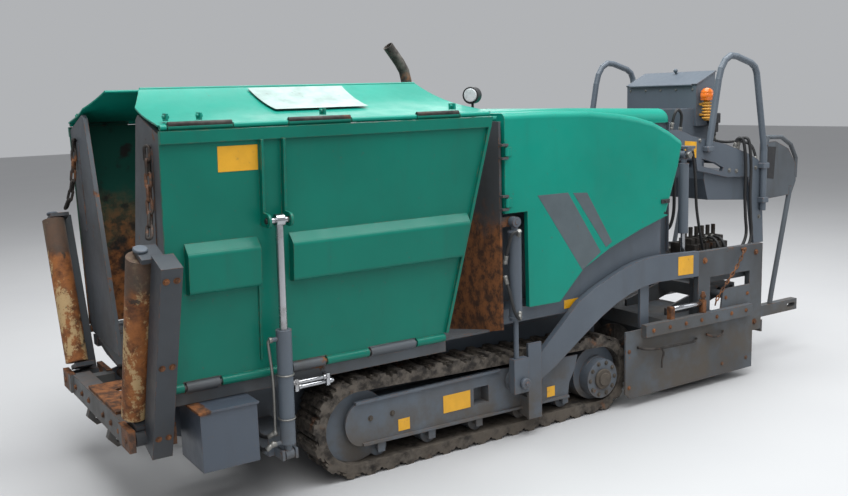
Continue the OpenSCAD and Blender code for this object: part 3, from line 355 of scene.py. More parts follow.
def lid_rust(t):
    """A rusty streak along the front edge of the tool box's lid."""
    p = t.place()
    ragged = t.math("ADD", p["X"], t.math("MULTIPLY", t.noise(30, 5, 0.6), 0.03))
    return t.math("MULTIPLY", t.ramp(ragged, 1.838, 1.846), t.ramp(p["Z"], 0.455, 0.468))


def paint(name, base, tone, rough=0.38, coat=0.0, wear=0.5, rust=0.66, dirt=0.4, mud_top=0.5, inside=False,
          bare_zone=None, shine=0.5):
    """Worn machine paint: tone changes, run-down streaks, chipped edges, rust and mud low down."""
    t = Nodes(name)
    colour = t.mix(t.ramp(t.noise(1.7, 4), 0.35, 0.68), base, tone)
    streak = t.ramp(t.noise(7, 5, 0.6, stretch=(2.6, 2.6, 0.32)), 0.50, 0.80)
    dull = tuple(0.45 * a + 0.25 * b for a, b in zip(base, MUD))
    colour = t.mix(t.math("MULTIPLY", streak, dirt), colour, dull)
    speck = t.ramp(t.noise(60, 3, 0.6), 0.66, 0.74)
    colour = t.mix(t.math("MULTIPLY", speck, 0.35), colour, MUD)
    inner = None
    if inside:
        # The inner side of a wing is dull, with painted shade as a darker copy of its green, and bitumen and
        # rust towards its foot
        nrm = t.new("ShaderNodeSeparateXYZ")
        t.link(t.new("ShaderNodeTexCoord").outputs["Normal"], nrm.inputs[0])
        inner = t.ramp(t.math("MULTIPLY", t.place()["Y"], nrm.outputs["Y"]), -0.15, -0.35)
        foot = t.ramp(t.math("ADD", t.height(), t.math("MULTIPLY", t.noise(3.5, 5), 0.9)), 1.72, 1.30)
        # Painted shade: the green at 0.42 of its brightness, with real rust towards the foot
        shade_and_stain = t.mix(foot, tuple(0.42 * c for c in base), rust_colour(t))
        shade_and_stain = t.mix(t.ramp(t.noise(9, 5), 0.52, 0.66), shade_and_stain, TAR)
        colour = t.mix(inner, colour, shade_and_stain)
    scatter = t.noise(34, 6, 0.75)
    chip = t.math("MULTIPLY", t.edges(), t.ramp(scatter, 0.42, 0.60))
    chip = t.math("MULTIPLY", chip, wear)
    cloud = t.math("MULTIPLY", t.noise(4.2, 8, 0.62), 0.7)
    patch = t.ramp(t.math("ADD", cloud, t.math("MULTIPLY", scatter, 0.3)), rust, rust + 0.05)
    bare = t.math("MAXIMUM", chip, patch)
    if bare_zone:
        bare = t.math("MAXIMUM", bare, bare_zone(t))
    colour = t.mix(bare, colour, rust_colour(t))
    mud = t.ramp(t.height(), mud_top, mud_top * 0.25)
    mud = t.math("MULTIPLY", mud, t.ramp(t.noise(5.5, 7, 0.65), 0.34, 0.66))
    colour = t.mix(t.math("MULTIPLY", mud, 0.85), colour, MUD)
    r = t.blend(t.ramp(t.noise(11, 5), 0.3, 0.7), rough, rough + 0.14)
    r = t.blend(t.math("MAXIMUM", bare, mud), r, 0.86)
    if inner is not None:
        r = t.blend(inner, r, 0.7)
    grain = t.math("MULTIPLY", t.noise(90, 3), 0.25)
    bump = t.math("ADD", grain, t.math("MULTIPLY", bare, t.noise(160, 4)))
    return t.finish(colour, r, 0.0, bump, 0.0012, 0.35, coat, shine=shine)


def steel(name, dark, light, rough=0.62, metallic=0.55, rust=0.45, mud_top=0.4, scale=14):
    """Bare working steel: dark film, rust blooms and dust."""
    t = Nodes(name)
    colour = t.mix(t.ramp(t.noise(scale, 6, 0.65), 0.36, 0.66), dark, light)
    bloom = t.ramp(t.noise(6, 8, 0.7, distort=0.4), 0.62 - rust * 0.3, 0.74 - rust * 0.3)
    colour = t.mix(t.math("MULTIPLY", bloom, 0.8), colour, rust_colour(t))
    mud = t.math("MULTIPLY", t.ramp(t.height(), mud_top, 0.0), t.ramp(t.noise(8, 7, 0.65), 0.36, 0.60))
    colour = t.mix(mud, colour, MUD)
    m = t.blend(t.math("MAXIMUM", bloom, mud), metallic, 0.0)
    r = t.blend(t.ramp(t.noise(30, 4), 0.3, 0.7), rough, rough + 0.2)
    bump = t.math("ADD", t.noise(45, 6, 0.7), t.math("MULTIPLY", t.noise(170, 4), 0.5))
    return t.finish(colour, r, m, bump, 0.0022, 0.6)


def rusty_roller(name):
    """Rusty push roller: orange-brown, with long patches of cream remains and a grey-brown top."""
    t = Nodes(name)
    colour = t.mix(t.ramp(t.noise(13, 7, 0.7), 0.34, 0.64), (0.085, 0.028, 0.009), (0.300, 0.105, 0.026))
    scatter = t.noise(55, 6, 0.8)
    flakes = t.noise(4.5, 5, 0.6, stretch=(1.6, 1.6, 0.45))
    cream = t.ramp(t.math("ADD", flakes, t.math("MULTIPLY", scatter, 0.5)), 0.80, 0.86)
    colour = t.mix(t.math("MULTIPLY", cream, 0.85), colour, (0.47, 0.34, 0.17))
    tar = t.ramp(t.noise(9, 6, 0.7, distort=0.5), 0.60, 0.66)
    colour = t.mix(t.math("MULTIPLY", tar, 0.9), colour, (0.022, 0.016, 0.012))
    high = t.ramp(t.math("ADD", t.height(), t.math("MULTIPLY", t.noise(8, 5), 0.16)), 1.00, 1.06)
    colour = t.mix(t.math("MULTIPLY", high, 0.85), colour, (0.075, 0.054, 0.040))
    r = t.blend(t.noise(24, 5), 0.62, 0.95)
    bump = t.math("ADD", t.noise(38, 8, 0.72), t.math("MULTIPLY", t.noise(9, 4), 0.6))
    return t.finish(colour, r, 0.05, bump, 0.004, 0.7)


def plain(name, colour, rough, metallic=0.0, coat=0.0, grain=120, bump=0.0006, spread=0.25):
    """Rubber, plastic, plating and labels: small changes of tone and gloss."""
    t = Nodes(name)
    darker = tuple(c * (1 - spread) for c in colour)
    c = t.mix(t.ramp(t.noise(13, 6), 0.34, 0.68), colour, darker)
    c = t.mix(t.math("MULTIPLY", t.ramp(t.noise(38, 5), 0.60, 0.74), 0.4), c, MUD)
    r = t.blend(t.noise(26, 4), rough, min(1.0, rough + 0.16))
    return t.finish(c, r, metallic, t.noise(grain, 3), bump, 0.3, coat)


def chrome(name):
    """Hard chrome under a thin dull film."""
    t = Nodes(name)
    film = t.ramp(t.noise(9, 6, 0.7), 0.46, 0.72)
    colour = t.mix(t.math("MULTIPLY", film, 0.55), (0.44, 0.45, 0.47), (0.22, 0.20, 0.18))
    r = t.blend(film, 0.14, 0.42)
    return t.finish(colour, r, 0.95, t.noise(220, 3), 0.0003, 0.2, round_edges=0.0015)


def glass(name, tint):
    """A lamp's glossy lens."""
    t = Nodes(name)
    colour = t.mix(t.ramp(t.noise(60, 3), 0.4, 0.7), tint, tuple(0.8 * c for c in tint))
    return t.finish(colour, t.blend(t.noise(30, 3), 0.06, 0.18), 0.0, t.noise(200, 2), 0.0003, 0.1, coat=0.6)


GREEN, GREEN_TONE = (0.000, 0.235, 0.172), (0.001, 0.200, 0.146)
# The wings' green is a darker copy of the covers' green: painted shade on the wings' sides
SHADED_WING_GREEN, SHADED_WING_TONE = (0.000, 0.150, 0.106), (0.000, 0.126, 0.089)
GREY, GREY_TONE = (0.088, 0.108, 0.132), (0.070, 0.086, 0.108)
STAINED = (0.045, 0.047, 0.050)
MAT = {
    "green": paint("worn_green_paint", GREEN, GREEN_TONE, rough=0.34, coat=0.06, wear=0.45, rust=0.72,
                   dirt=0.18, mud_top=0.55, shine=0.25),
    # Wing paint: worn green, darkened as painted shade
    "green_inside": paint("worn_shaded_green_wing_paint", SHADED_WING_GREEN, SHADED_WING_TONE, rough=0.34, coat=0.06, wear=0.55,
                          rust=0.71, dirt=0.22, mud_top=0.62, inside=True, shine=0.25),
    "grey": paint("worn_grey_paint", GREY, GREY_TONE, rough=0.42, wear=0.8, rust=0.655, dirt=0.4,
                  mud_top=0.45),
    "grey_clean": paint("grey_panel_paint", GREY, GREY_TONE, rough=0.36, wear=0.5, rust=0.72, dirt=0.25,
                        mud_top=0.30),
    "grey_rough": paint("stained_grey_paint", (0.075, 0.088, 0.102), STAINED, rough=0.5, wear=1.0,
                        rust=0.60, dirt=0.8, mud_top=0.7),
    "wall": paint("bare_wall_steel", (0.060, 0.068, 0.076), STAINED, rough=0.55, wear=1.0, rust=0.64,
                  dirt=0.7, mud_top=0.6, bare_zone=wall_rust),
    "member": paint("worn_member_paint", (0.105, 0.115, 0.122), (0.070, 0.068, 0.064), rough=0.55, wear=1.0,
                    rust=0.62, dirt=0.8, mud_top=0.45, bare_zone=member_rust),
    "push": paint("dark_grey_paint", (0.038, 0.045, 0.054), (0.029, 0.034, 0.041), rough=0.42, wear=0.8,
                  rust=0.655, dirt=0.4, mud_top=0.45),
    "tool": paint("tool_box_paint", (0.058, 0.073, 0.096), (0.048, 0.060, 0.080), rough=0.34, wear=0.35,
                  rust=0.76, dirt=0.2, mud_top=0.28, bare_zone=lid_rust),
    "track": steel("dirty_track_steel", (0.016, 0.013, 0.011), (0.110, 0.094, 0.078), rough=0.74,
                   metallic=0.20, rust=0.12, mud_top=0.45, scale=24),
    "caked": steel("caked_steel", (0.028, 0.023, 0.019), (0.100, 0.083, 0.066), rough=0.80, metallic=0.10,
                   rust=0.15, mud_top=0.5, scale=30),
    "dark": steel("oily_dark_steel", (0.016, 0.014, 0.013), (0.060, 0.052, 0.046), rough=0.55, metallic=0.4,
                  rust=0.30, mud_top=0.3),
    "rusty": steel("rusty_steel", (0.050, 0.024, 0.013), (0.200, 0.085, 0.035), rough=0.75, metallic=0.15,
                   rust=0.9, mud_top=0.2, scale=12),
    "roller": rusty_roller("rusty_roller_steel"),
    "chrome": chrome("hard_chrome"),
    "exhaust": steel("heat_stained_steel", (0.060, 0.052, 0.048), (0.200, 0.180, 0.160), rough=0.45,
                     metallic=0.7, rust=0.35, mud_top=0.0),
    "rubber": plain("black_hose_rubber", (0.014, 0.014, 0.015), 0.5, grain=260),
    "plastic": plain("black_plastic", (0.020, 0.020, 0.022), 0.42),
    "zinc": plain("zinc_plated_steel", (0.25, 0.245, 0.23), 0.40, metallic=0.8, bump=0.0003),
    "label": plain("yellow_label", (0.72, 0.36, 0.008), 0.38, coat=0.3, bump=0.0002, spread=0.12),
    "sticker": plain("faded_white_sticker", (0.30, 0.41, 0.38), 0.42, coat=0.2, bump=0.0002, spread=0.3),
    "stripe": plain("grey_stripe_film", (0.075, 0.098, 0.110), 0.36, coat=0.2, bump=0.0002, spread=0.12),
    "lens": glass("clear_lamp_lens", (0.62, 0.64, 0.66)),
    "amber": glass("amber_lamp_lens", (0.80, 0.17, 0.006)),
    "amber_dull": plain("amber_lamp_foot", (0.62, 0.30, 0.035), 0.42, coat=0.2, bump=0.0002, spread=0.35),
}

# The CAD's nodes by material; a star stands for left and right
NODE_MATERIAL = {
    "grey": "chassis track_frame_* engine_bay rear_frame levelling_cylinders wing_barrel_* tow_arms "
            "lift_barrel_*",
    "grey_clean": "console console_lid handrails",
    "grey_rough": "hopper_base wing_flange_* screed_body walkway_frame screed_extension_*",
    "wall": "hopper_rear_wall",
    "member": "front_crossmember hitch_plate tow_hooks",
    "tool": "tool_box",
    "push": "push_arm_*",
    "dark": "bar_conveyor engine_block valve_block auger_drive auger_*",
    "track": "track_*",
    "green": "hood engine_cover_* roof_flap_*",
    "green_inside": "wing_*",
    "exhaust": "exhaust",
    "plastic": "work_lamp",
    "chrome": "wing_rod_* lift_rod_*",
    "roller": "push_roller_*",
}


def dress_nodes():
    for key, names in NODE_MATERIAL.items():
        for name in names.split():
            for full in sorted({name.replace("*", side) for side, _ in SIDES}):
                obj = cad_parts[full]
                if not obj.material_slots:
                    obj.data.materials.append(MAT[key])
                for s in obj.material_slots:
                    s.link = "OBJECT"
                    s.material = MAT[key]


PHOTO_WIDTH = 848
SENSOR = 36.0


def camera():
    """The photograph's view: focal length in pixels, place in metres, turns in radians."""
    focal = 942.56
    place = (3.187 - ORIGIN_X / 1000, 4.0197, 1.618)
    yaw, pitch, roll = 0.5709, 0.16, -0.0299
    ahead = Vector((-math.sin(yaw) * math.cos(pitch), -math.cos(yaw) * math.cos(pitch), -math.sin(pitch)))
    right = ahead.cross(Vector((0, 0, 1))).normalized()
    up = right.cross(ahead)
    x = math.cos(roll) * right + math.sin(roll) * up
    y = -math.sin(roll) * right + math.cos(roll) * up
    data = bpy.data.cameras.new("camera")
    data.sensor_width = SENSOR
    data.lens = focal * SENSOR / PHOTO_WIDTH
    cam = bpy.data.objects.new("camera", data)
    rot = Matrix((x, y, -ahead)).transposed().to_4x4()
    cam.matrix_world = Matrix.Translation(place) @ rot
    scene.collection.objects.link(cam)
    scene.camera = cam


def floor_and_light():
    bm = bmesh.new()
    half = 30
    for x, y in ((-half, -half), (half, -half), (half, half), (-half, half)):
        bm.verts.new((x, y, 0))
    bm.verts.ensure_lookup_table()
    bm.faces.new(bm.verts)
    mesh = bpy.data.meshes.new("floor")
    bm.to_mesh(mesh)
    bm.free()
    t = Nodes("pale_floor")
    mesh.materials.append(t.finish(t.mix(t.noise(0.8, 3), (0.43, 0.43, 0.44), (0.47, 0.47, 0.47)),
                                   t.blend(t.noise(3, 3), 0.55, 0.65), round_edges=0))
    floor = bpy.data.objects.new("floor", mesh)
    scene.collection.objects.link(floor)
    world = bpy.data.worlds.new("studio")
    world.use_nodes = True
    back = world.node_tree.nodes["Background"]
    back.inputs["Color"].default_value = (0.88, 0.90, 0.93, 1)
    back.inputs["Strength"].default_value = 0.50
    scene.world = world
    scene.view_settings.view_transform = "Standard"

    def area(name, place, target, size, power, colour=(1, 1, 1)):
        data = bpy.data.lights.new(name, "AREA")
        data.shape = "DISK"
        data.size = size
        data.energy = power
        data.color = colour
        lamp = bpy.data.objects.new(name, data)
        lamp.location = place
        lamp.rotation_euler = (Vector(target) - Vector(place)).to_track_quat("-Z", "Y").to_euler()
        scene.collection.objects.link(lamp)

    area("top", (0, 0.8, 6.5), (0, 0, 0), 8.0, 900, (0.97, 0.99, 1.0))
    area("key", (3.0, 6.5, 5.5), (0, 0, 0.7), 4.5, 130, (1.0, 0.985, 0.96))
    area("fill", (-6.0, 3.0, 3.5), (0, 0, 0.8), 4.0, 60, (0.93, 0.96, 1.0))
    area("back", (-3.0, -6.0, 4.0), (0, 0, 0.8), 4.0, 90)


def quad_on_wing(points, thick):
    """A thin plate on the wing's outer skin, from (x, up) corners."""
    n = Vector(on_wing(0, thick, 0)) - Vector(on_wing(0, 0, 0))
    return [on_wing(x, 0.0, up) for x, up in points], n


EYE_OUT, EYE_UP = 60, 622


def wing_fittings(side, sg):
    body = "wing_" + side
    # Blank yellow label on the skin
    label = Piece(sg)
    pts, n = quad_on_wing([(1935, 908), (1776, 908), (1776, 812), (1935, 812)], 1.2)
    label.plate(pts, n, 0.3)
    label.done("wing_label_" + side, MAT["label"], body, "green_paint")
    # Ends of the cylinder's upper pin
    iron = Piece(sg)
    for x in (WING_CYLINDER_X - 45, WING_CYLINDER_X + 45):
        for s in (-1, 1):
            iron.rod(on_wing(x + s * 5, EYE_OUT, EYE_UP), on_wing(x + s * 12, EYE_OUT, EYE_UP), 11, 16, 1.5)
    iron.done("wing_pin_ends_" + side, MAT["dark"], body, "green_paint")


FLAP_PIN_Y, FLAP_PIN_Z = 684.1, 1542.7
FLAP_BEND_Y, FLAP_BEND_Z, FLAP_BEND_R = 409.1, 1603.7, 850.0
FLAP_LOW, FLAP_HIGH = math.radians(10.51), math.radians(30.07)
FLAP_KNUCKLES = ((850, 1063), (1375, 1645), (1872, 2116))
FLAP_LUG_X, FLAP_LUG_Y = (2110, 1985, 1480, 860), 660
STICKER_ROWS, STICKER_INNER_Y, STICKER_OUTER_Y = 12, 292, 525


def flap_height(y):
    """Upper face of the roof flap on the left side: two straight runs joined by a wide arc."""
    run = FLAP_BEND_R * math.tan((FLAP_HIGH - FLAP_LOW) / 2)
    y1, z1 = FLAP_BEND_Y + run * math.cos(FLAP_LOW), FLAP_BEND_Z - run * math.sin(FLAP_LOW)
    if y > y1:
        return z1 + (y1 - y) * math.tan(FLAP_LOW)
    if y < FLAP_BEND_Y - run * math.cos(FLAP_HIGH):
        return FLAP_BEND_Z + (FLAP_BEND_Y - y) * math.tan(FLAP_HIGH)
    arc_y, arc_z = y1 + FLAP_BEND_R * math.sin(FLAP_LOW), z1 + FLAP_BEND_R * math.cos(FLAP_LOW)
    return arc_z - math.sqrt(FLAP_BEND_R ** 2 - (y - arc_y) ** 2)


def flap_fittings(side, sg):
    body = "roof_flap_" + side
    if side == "left":
        # The faded blank sticker, laid over the flap's bend
        sticker = Piece(sg)
        rows = []
        for k in range(STICKER_ROWS + 1):
            y = STICKER_INNER_Y + (STICKER_OUTER_Y - STICKER_INNER_Y) * k / STICKER_ROWS
            z = flap_height(y) + 0.2
            rows.append(((1200, y, z), (1640 - 1.5 * k, y, z)))
        sticker.sheet(rows, (0, 0.3, 0.9))
        sticker.done("flap_sticker_" + side, MAT["sticker"], body, "green_paint")
    # Greasy black sleeves on the wing's own knuckles of this hinge
    sleeves = Piece(sg)
    for x0, x1 in FLAP_KNUCKLES:
        sleeves.rod((x0 + 1, FLAP_PIN_Y, FLAP_PIN_Z), (x1 - 1, FLAP_PIN_Y, FLAP_PIN_Z), 10.8, 20, 1)
    sleeves.done("flap_hinge_sleeves_" + side, MAT["dark"], "wing_" + side, "green_paint")
    lugs = Piece(sg)
    z = flap_height(FLAP_LUG_Y)
    for x in FLAP_LUG_X:
        lugs.box(x - 4, x + 4, 630, 676, z - 1, z + 26, 1.5)
        lugs.rod((x - 12, 655, z + 14), (x + 12, 655, z + 14), 7, 14)
    lugs.done("flap_lugs_" + side, MAT["green"], body, "green_paint")


def chain(points, pitch=62.0, wire=6.5, width=20.0, side=1):
    """Links along a hanging line, each turned a quarter from the last."""
    path = smooth_path(points, 24)
    lengths = [0.0]
    for a, b in zip(path, path[1:]):
        lengths.append(lengths[-1] + (b - a).length)
    step = pitch - 2 * wire
    piece = Piece(side)
    count = int(lengths[-1] // step)
    k = 0
    for i in range(count + 1):
        s = min(i * step, lengths[-1])
        while k < len(lengths) - 2 and lengths[k + 1] < s:
            k += 1
        f = (s - lengths[k]) / max(lengths[k + 1] - lengths[k], 1e-6)
        p = path[k].lerp(path[k + 1], min(max(f, 0), 1))
        d = (path[k + 1] - path[k]).normalized()
        u = d.orthogonal().normalized()
        u = (u if i % 2 else d.cross(u)).normalized()
        h, w = (pitch - width) / 2 - wire / 2, width / 2
        ring = []
        for a in circle(16):
            end = h if math.cos(a) >= 0 else -h
            ring.append(p + d * (end + w * math.cos(a)) + u * (w * math.sin(a)))
        piece.tube(ring, wire, 7, closed=True)
    return piece


def push_arm_fittings(side, sg):
    body = "push_arm_" + side
    caps = Piece(sg)
    c = on_arm(2254, -60, 66 + 690 + 24)
    d = Vector(on_arm(0, 0, 1)) - Vector(on_arm(0, 0, 0))
    caps.rod(c, Vector(c) + d * 12, 26, 24, 3)
    caps.done("roller_caps_" + side, MAT["grey"], body, "grey_paint")
    bolts = Piece(sg)
    for up in (60, 380, 740):
        for x in (2176, 2214):
            bolts.bolt(on_arm(x, 108, up), Vector(on_arm(0, 1, 0)) - Vector(on_arm(0, 0, 0)), 9, 7)
    bolts.done("arm_bolts_" + side, MAT["rusty"], body, "grey_paint")
    hook = chain([(2160, 566, 1440), (2168, 584, 1320), (2182, 618, 1210), (2206, 662, 1128)], side=sg)
    hook.done("arm_chain_" + side, MAT["dark"], "wing_" + side, "dark_steel")


def cover_fittings(side, sg):
    body = "engine_cover_" + side
    stripes = Piece(sg)
    for corners in (((399, 1148), (214, 1147), (4, 839), (124, 764)),
                    ((182, 1143), (93, 1137), (-71, 882), (-31, 859))):
        stripes.plate([(x, COVER_Y, z) for x, z in corners], (0, 0.6, 0))
    stripes.done("cover_stripes_" + side, MAT["stripe"], body, "green_paint")
    latch = Piece(sg)
    latch.box(-470, -410, COVER_Y - 1, COVER_Y + 7, 1040, 1062, 3)
    latch.rod((-440, COVER_Y + 6, 1051), (-440, COVER_Y + 12, 1051), 9, 16)
    latch.done("cover_latch_" + side, MAT["plastic"], body, "grey_paint")


def bay_fittings(side, sg):
    label = Piece(sg)
    label.label(((194, 615), (90, 615), (90, 572), (194, 572)), BAY_Y)
    label.done("bay_label_" + side, MAT["label"], "tractor", "grey_paint")


LAMP_X, LAMP_Y, LAMP_Z, LAMP_TURN = 606, 452, 1614, math.radians(35)


def lamps():
    def on_lamp(along, across, up):
        """A point of the left lamp: along its axis, across it, and up."""
        c, s = math.cos(LAMP_TURN), math.sin(LAMP_TURN)
        return (LAMP_X + along * c - across * s, LAMP_Y + along * s + across * c, LAMP_Z + up)

    for side, sg in SIDES:
        rim = Piece(sg)
        ring = [on_lamp(25, 35 * math.cos(a), 35 * math.sin(a)) for a in circle(28)]
        rim.tube(ring, 4.5, 8, closed=True)
        rim.done("work_lamp_rim_" + side, MAT["plastic"], "tractor", "dark_steel")
        lens = Piece(sg)
        lens.rod(on_lamp(26, 0, 0), on_lamp(33, 0, 0), 31, 32, 4)
        lens.done("work_lamp_lens_" + side, MAT["lens"], "tractor", "dark_steel")


DRIVE_X, DRIVE_Z = -40, 180


def track_fittings(side, sg):
    frame_bits = Piece(sg)
    for x in (1350, 1240):
        frame_bits.bolt((x - 60, TRACK_FRAME_Y, 250), (0, 1, 0), 9, 6)
    for a in circle(10):
        frame_bits.bolt((DRIVE_X + 82 * math.cos(a), 628, DRIVE_Z + 82 * math.sin(a)), (0, 1, 0), 8, 6)
    frame_bits.rod((DRIVE_X, 627, DRIVE_Z), (DRIVE_X, 642, DRIVE_Z), 52, 32, 4)
    frame_bits.rod((DRIVE_X, 641, DRIVE_Z), (DRIVE_X, 650, DRIVE_Z), 34, 32, 3)
    frame_bits.done("final_drive_" + side, MAT["caked"], "tractor", "dark_steel")
    labels = Piece(sg)
    for x0, x1, z0, z1 in ((911, 760, 190, 272), (1152, 1092, 160, 214), (300, 250, 142, 194)):
        labels.label(((x0, z1), (x1, z1), (x1, z0), (x0, z0)), TRACK_FRAME_Y)
    labels.done("track_labels_" + side, MAT["label"], "tractor", "grey_paint")


def add_hoses(name, runs, body, side=1, blend=None):
    """Hoses along smooth paths with steel ends, riding a body, or on no body when a blend is given."""
    rubber, steel_ends = Piece(side), Piece(side)
    for points, r in runs:
        path = smooth_path(points, 8)
        rubber.tube(path, r, 10)
        for a, b in ((path[0], path[1]), (path[-1], path[-2])):
            d = (b - a).normalized()
            steel_ends.rod(a - d * 4, a + d * 34, r * 1.28, 12, 1.5)
            steel_ends.rod(a - d * 8, a + d * 8, r * 1.6, 6, 1.5)
    rides = None if blend else body
    made = [rubber.done(name, MAT["rubber"], rides, "dark_steel"),
            steel_ends.done(name + "_fittings", MAT["zinc"], rides, "dark_steel")]
    if blend:
        for piece in made:
            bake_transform(piece)


def on_cylinder(x, out, up):
    """A point of the left wing cylinder: out from its axis, up from its foot."""
    c, s = math.cos(CYLINDER_LEAN), math.sin(CYLINDER_LEAN)
    return (WING_CYLINDER_X + x, CYLINDER_FOOT_Y + out * c + up * s, CYLINDER_FOOT_Z - out * s + up * c)


def cylinder_pipe(side, sg):
    """Steel pipe down the wing cylinder's barrel, with its ports and clips."""
    pipe = Piece(sg)
    route = ((57, 0, 478), (64, -6, 470), (58, -14, 430), (46, -16, 300), (46, -16, 120), (46, -14, 96))
    pipe.tube(smooth_path([on_cylinder(*p) for p in route], 6), 6, 10)
    for up in (478, 52):
        pipe.rod(on_cylinder(50, 0, up), on_cylinder(64, 0, up), 12, 6, 1.5)
    for up in (150, 330):
        ring = [on_cylinder(33 * math.cos(a), 33 * math.sin(a), up) for a in circle(20)]
        pipe.tube(ring, 3.5, 6, closed=True)
    pipe.done("wing_cylinder_pipe_" + side, MAT["zinc"], "wing_barrel_" + side, "dark_steel")


def cylinder_hoses(side, sg):
    """Hoses from the wing cylinder's foot to the chassis."""
    low = [(1786, 692, 276), (1812, 690, 262), (1828, 640, 262), (1822, 520, 330), (1800, 396, 372)]
    high = [(1768, 679, 316), (1796, 664, 300), (1806, 600, 300), (1796, 500, 352), (1772, 396, 392)]
    inner, outer = metres((1800, 560 * sg, 300)), metres((1790, 680 * sg, 280))
    add_hoses("wing_cylinder_hoses_" + side, [(low, 8), (high, 8)], "tractor", sg,
              ("tractor", "wing_barrel_" + side, inner, outer))


GREASE_PIPE_Y = 628


def grease_pipes(side, sg):
    """Two bright pipes behind the wing cylinder, between their clips."""
    pair = Piece(sg)
    for x0, z in ((1664, 486), (1640, 466)):
        pair.rod((x0, GREASE_PIPE_Y, z), (x0 - 165, GREASE_PIPE_Y, z), 9, 14, 2)
        for x in (x0 - 12, x0 - 150):
            pair.rod((x - 8, GREASE_PIPE_Y, z), (x + 8, GREASE_PIPE_Y, z), 13, 6, 1.5)
    for x in (1652, 1510):
        pair.box(x, x - 12, 596, 640, 452, 500, 2)
    pair.done("grease_pipes_" + side, MAT["chrome"], "tractor", "chrome_rod")


LEVEL_X, LEVEL_Y = 546, 674
TOW_PIN_X, TOW_PIN_Z = 518, 281


def levelling_hoses(side, sg):
    add_hoses("levelling_hoses_" + side,
              [([(546, 700, 985), (556, 716, 1000), (588, 708, 990), (597, 690, 930), (598, 668, 860)], 8),
               ([(546, 703, 620), (560, 718, 600), (584, 712, 640), (594, 694, 720), (598, 668, 790)], 8)],
              "tractor", sg)
    bits = Piece(sg)
    for z in (612, 985):
        bits.rod((LEVEL_X, 690, z), (LEVEL_X, 705, z), 12, 12, 2)
    for z in (598, 996):
        ring = [(LEVEL_X + 31 * math.cos(a), LEVEL_Y + 31 * math.sin(a), z) for a in circle(24)]
        bits.tube(ring, 4, 6, closed=True)
    bits.rod((TOW_PIN_X, 694, TOW_PIN_Z), (TOW_PIN_X, 716, TOW_PIN_Z), 26, 24, 3)
    bits.bolt((TOW_PIN_X, 715, TOW_PIN_Z), (0, 1, 0), 10, 7)
    bits.done("levelling_fittings_" + side, MAT["grey"], "tractor", "grey_paint")


BEACON_X, BEACON_Y, LENS_Z = -1145, 318, 1545


def rear_fittings():
    for side, sg in SIDES:
        labels = Piece(sg)
        labels.label(((-800, 1334), (-893, 1325), (-893, 1236), (-800, 1243)), REAR_ARM_Y)
        labels.done("arm_label_" + side, MAT["label"], "tractor", "grey_paint")
        tow = Piece(sg)
        tow.label(((-560, 745), (-675, 742), (-675, 642), (-560, 645)), TOW_ARM_Y)
        tow.done("tow_arm_label_" + side, MAT["label"], "screed", "grey_paint")
        clamps = Piece(sg)
        for x, z in ((-1448, 1160), (-1448, 960)):
            clamps.box(x - 26, x + 26, 462, 506, z - 16, z + 16, 4)
            clamps.bolt((x - 38, 470, z), (0, 1, 0), 7, 5)
        clamps.box(-996, -944, 462, 506, 1268, 1296, 4)
        clamps.done("rail_clamps_" + side, MAT["grey"], "tractor", "grey_paint")
        bolts = Piece(sg)
        for x, z in ((-740, 1340), (-920, 1330), (-1170, 1150), (-1230, 1142), (-1400, 1150), (-1440, 860)):
            bolts.bolt((x, REAR_ARM_Y, z), (0, 1, 0), 9, 6)
        bolts.rod((-690, 586, 1270), (-690, 606, 1270), 17, 20, 2)
        bolts.done("rear_bolts_" + side, MAT["zinc"], "tractor", "grey_paint")


def beacon():
    """Amber beacon on its ribbed foot, at the console's left side."""
    lens = Piece()
    rings = [(0, 34), (10, 37), (40, 37), (56, 32), (66, 20), (70, 4)]
    for (a, ra), (b, rb) in zip(rings, rings[1:]):
        lens.rod((BEACON_X, BEACON_Y, LENS_Z + a), (BEACON_X, BEACON_Y, LENS_Z + b + 0.5), ra, 28, 0.2, rb)
    lens.done("beacon_lens", MAT["amber"], "tractor", "dark_steel")
    foot = Piece()
    foot.rod((BEACON_X, BEACON_Y, 1430), (BEACON_X, BEACON_Y, LENS_Z + 1), 18, 20, 2)
    for k in range(6):
        foot.rod((BEACON_X, BEACON_Y, 1440 + 17 * k), (BEACON_X, BEACON_Y, 1450 + 17 * k), 27, 24, 3)
    for z in (1456, 1516):
        foot.box(BEACON_X - 14, BEACON_X + 14, 273, BEACON_Y, z, z + 14, 2)
    foot.done("beacon_foot", MAT["amber_dull"], "tractor", "dark_steel")


def switch_box():
    """Black switch box behind the beacon."""
    box = Piece()
    box.box(-1258, -1196, 272, 326, 1412, 1470, 5)
    box.box(-1250, -1204, 280, 318, 1360, 1414, 4)
    box.rod((-1227, 300, 1340), (-1227, 300, 1362), 15, 16, 2)
    box.done("switch_box", MAT["plastic"], "tractor", "dark_steel")


BAY_REAR_X = -679


def louvres():
    """Louvres in the bay's rear wall, and their frame."""
    slats = Piece()
    for k in range(15):
        z = 840 + 36 * k
        slats.box(BAY_REAR_X - 11, BAY_REAR_X, -360, 360, z, z + 22, 3)
    slats.done("rear_louvres", MAT["dark"], "tractor", "grey_paint")
    rim = Piece()
    for y0, y1, z0, z1 in ((-385, 385, 812, 826), (-385, 385, 1384, 1398), (-385, -371, 812, 1398),
                           (371, 385, 812, 1398)):
        rim.box(BAY_REAR_X - 13, BAY_REAR_X, y0, y1, z0, z1, 3)
    rim.done("rear_louvre_frame", MAT["grey"], "tractor", "grey_paint")


PANEL_Z, CONSOLE_FRONT_X = 1519, -1106


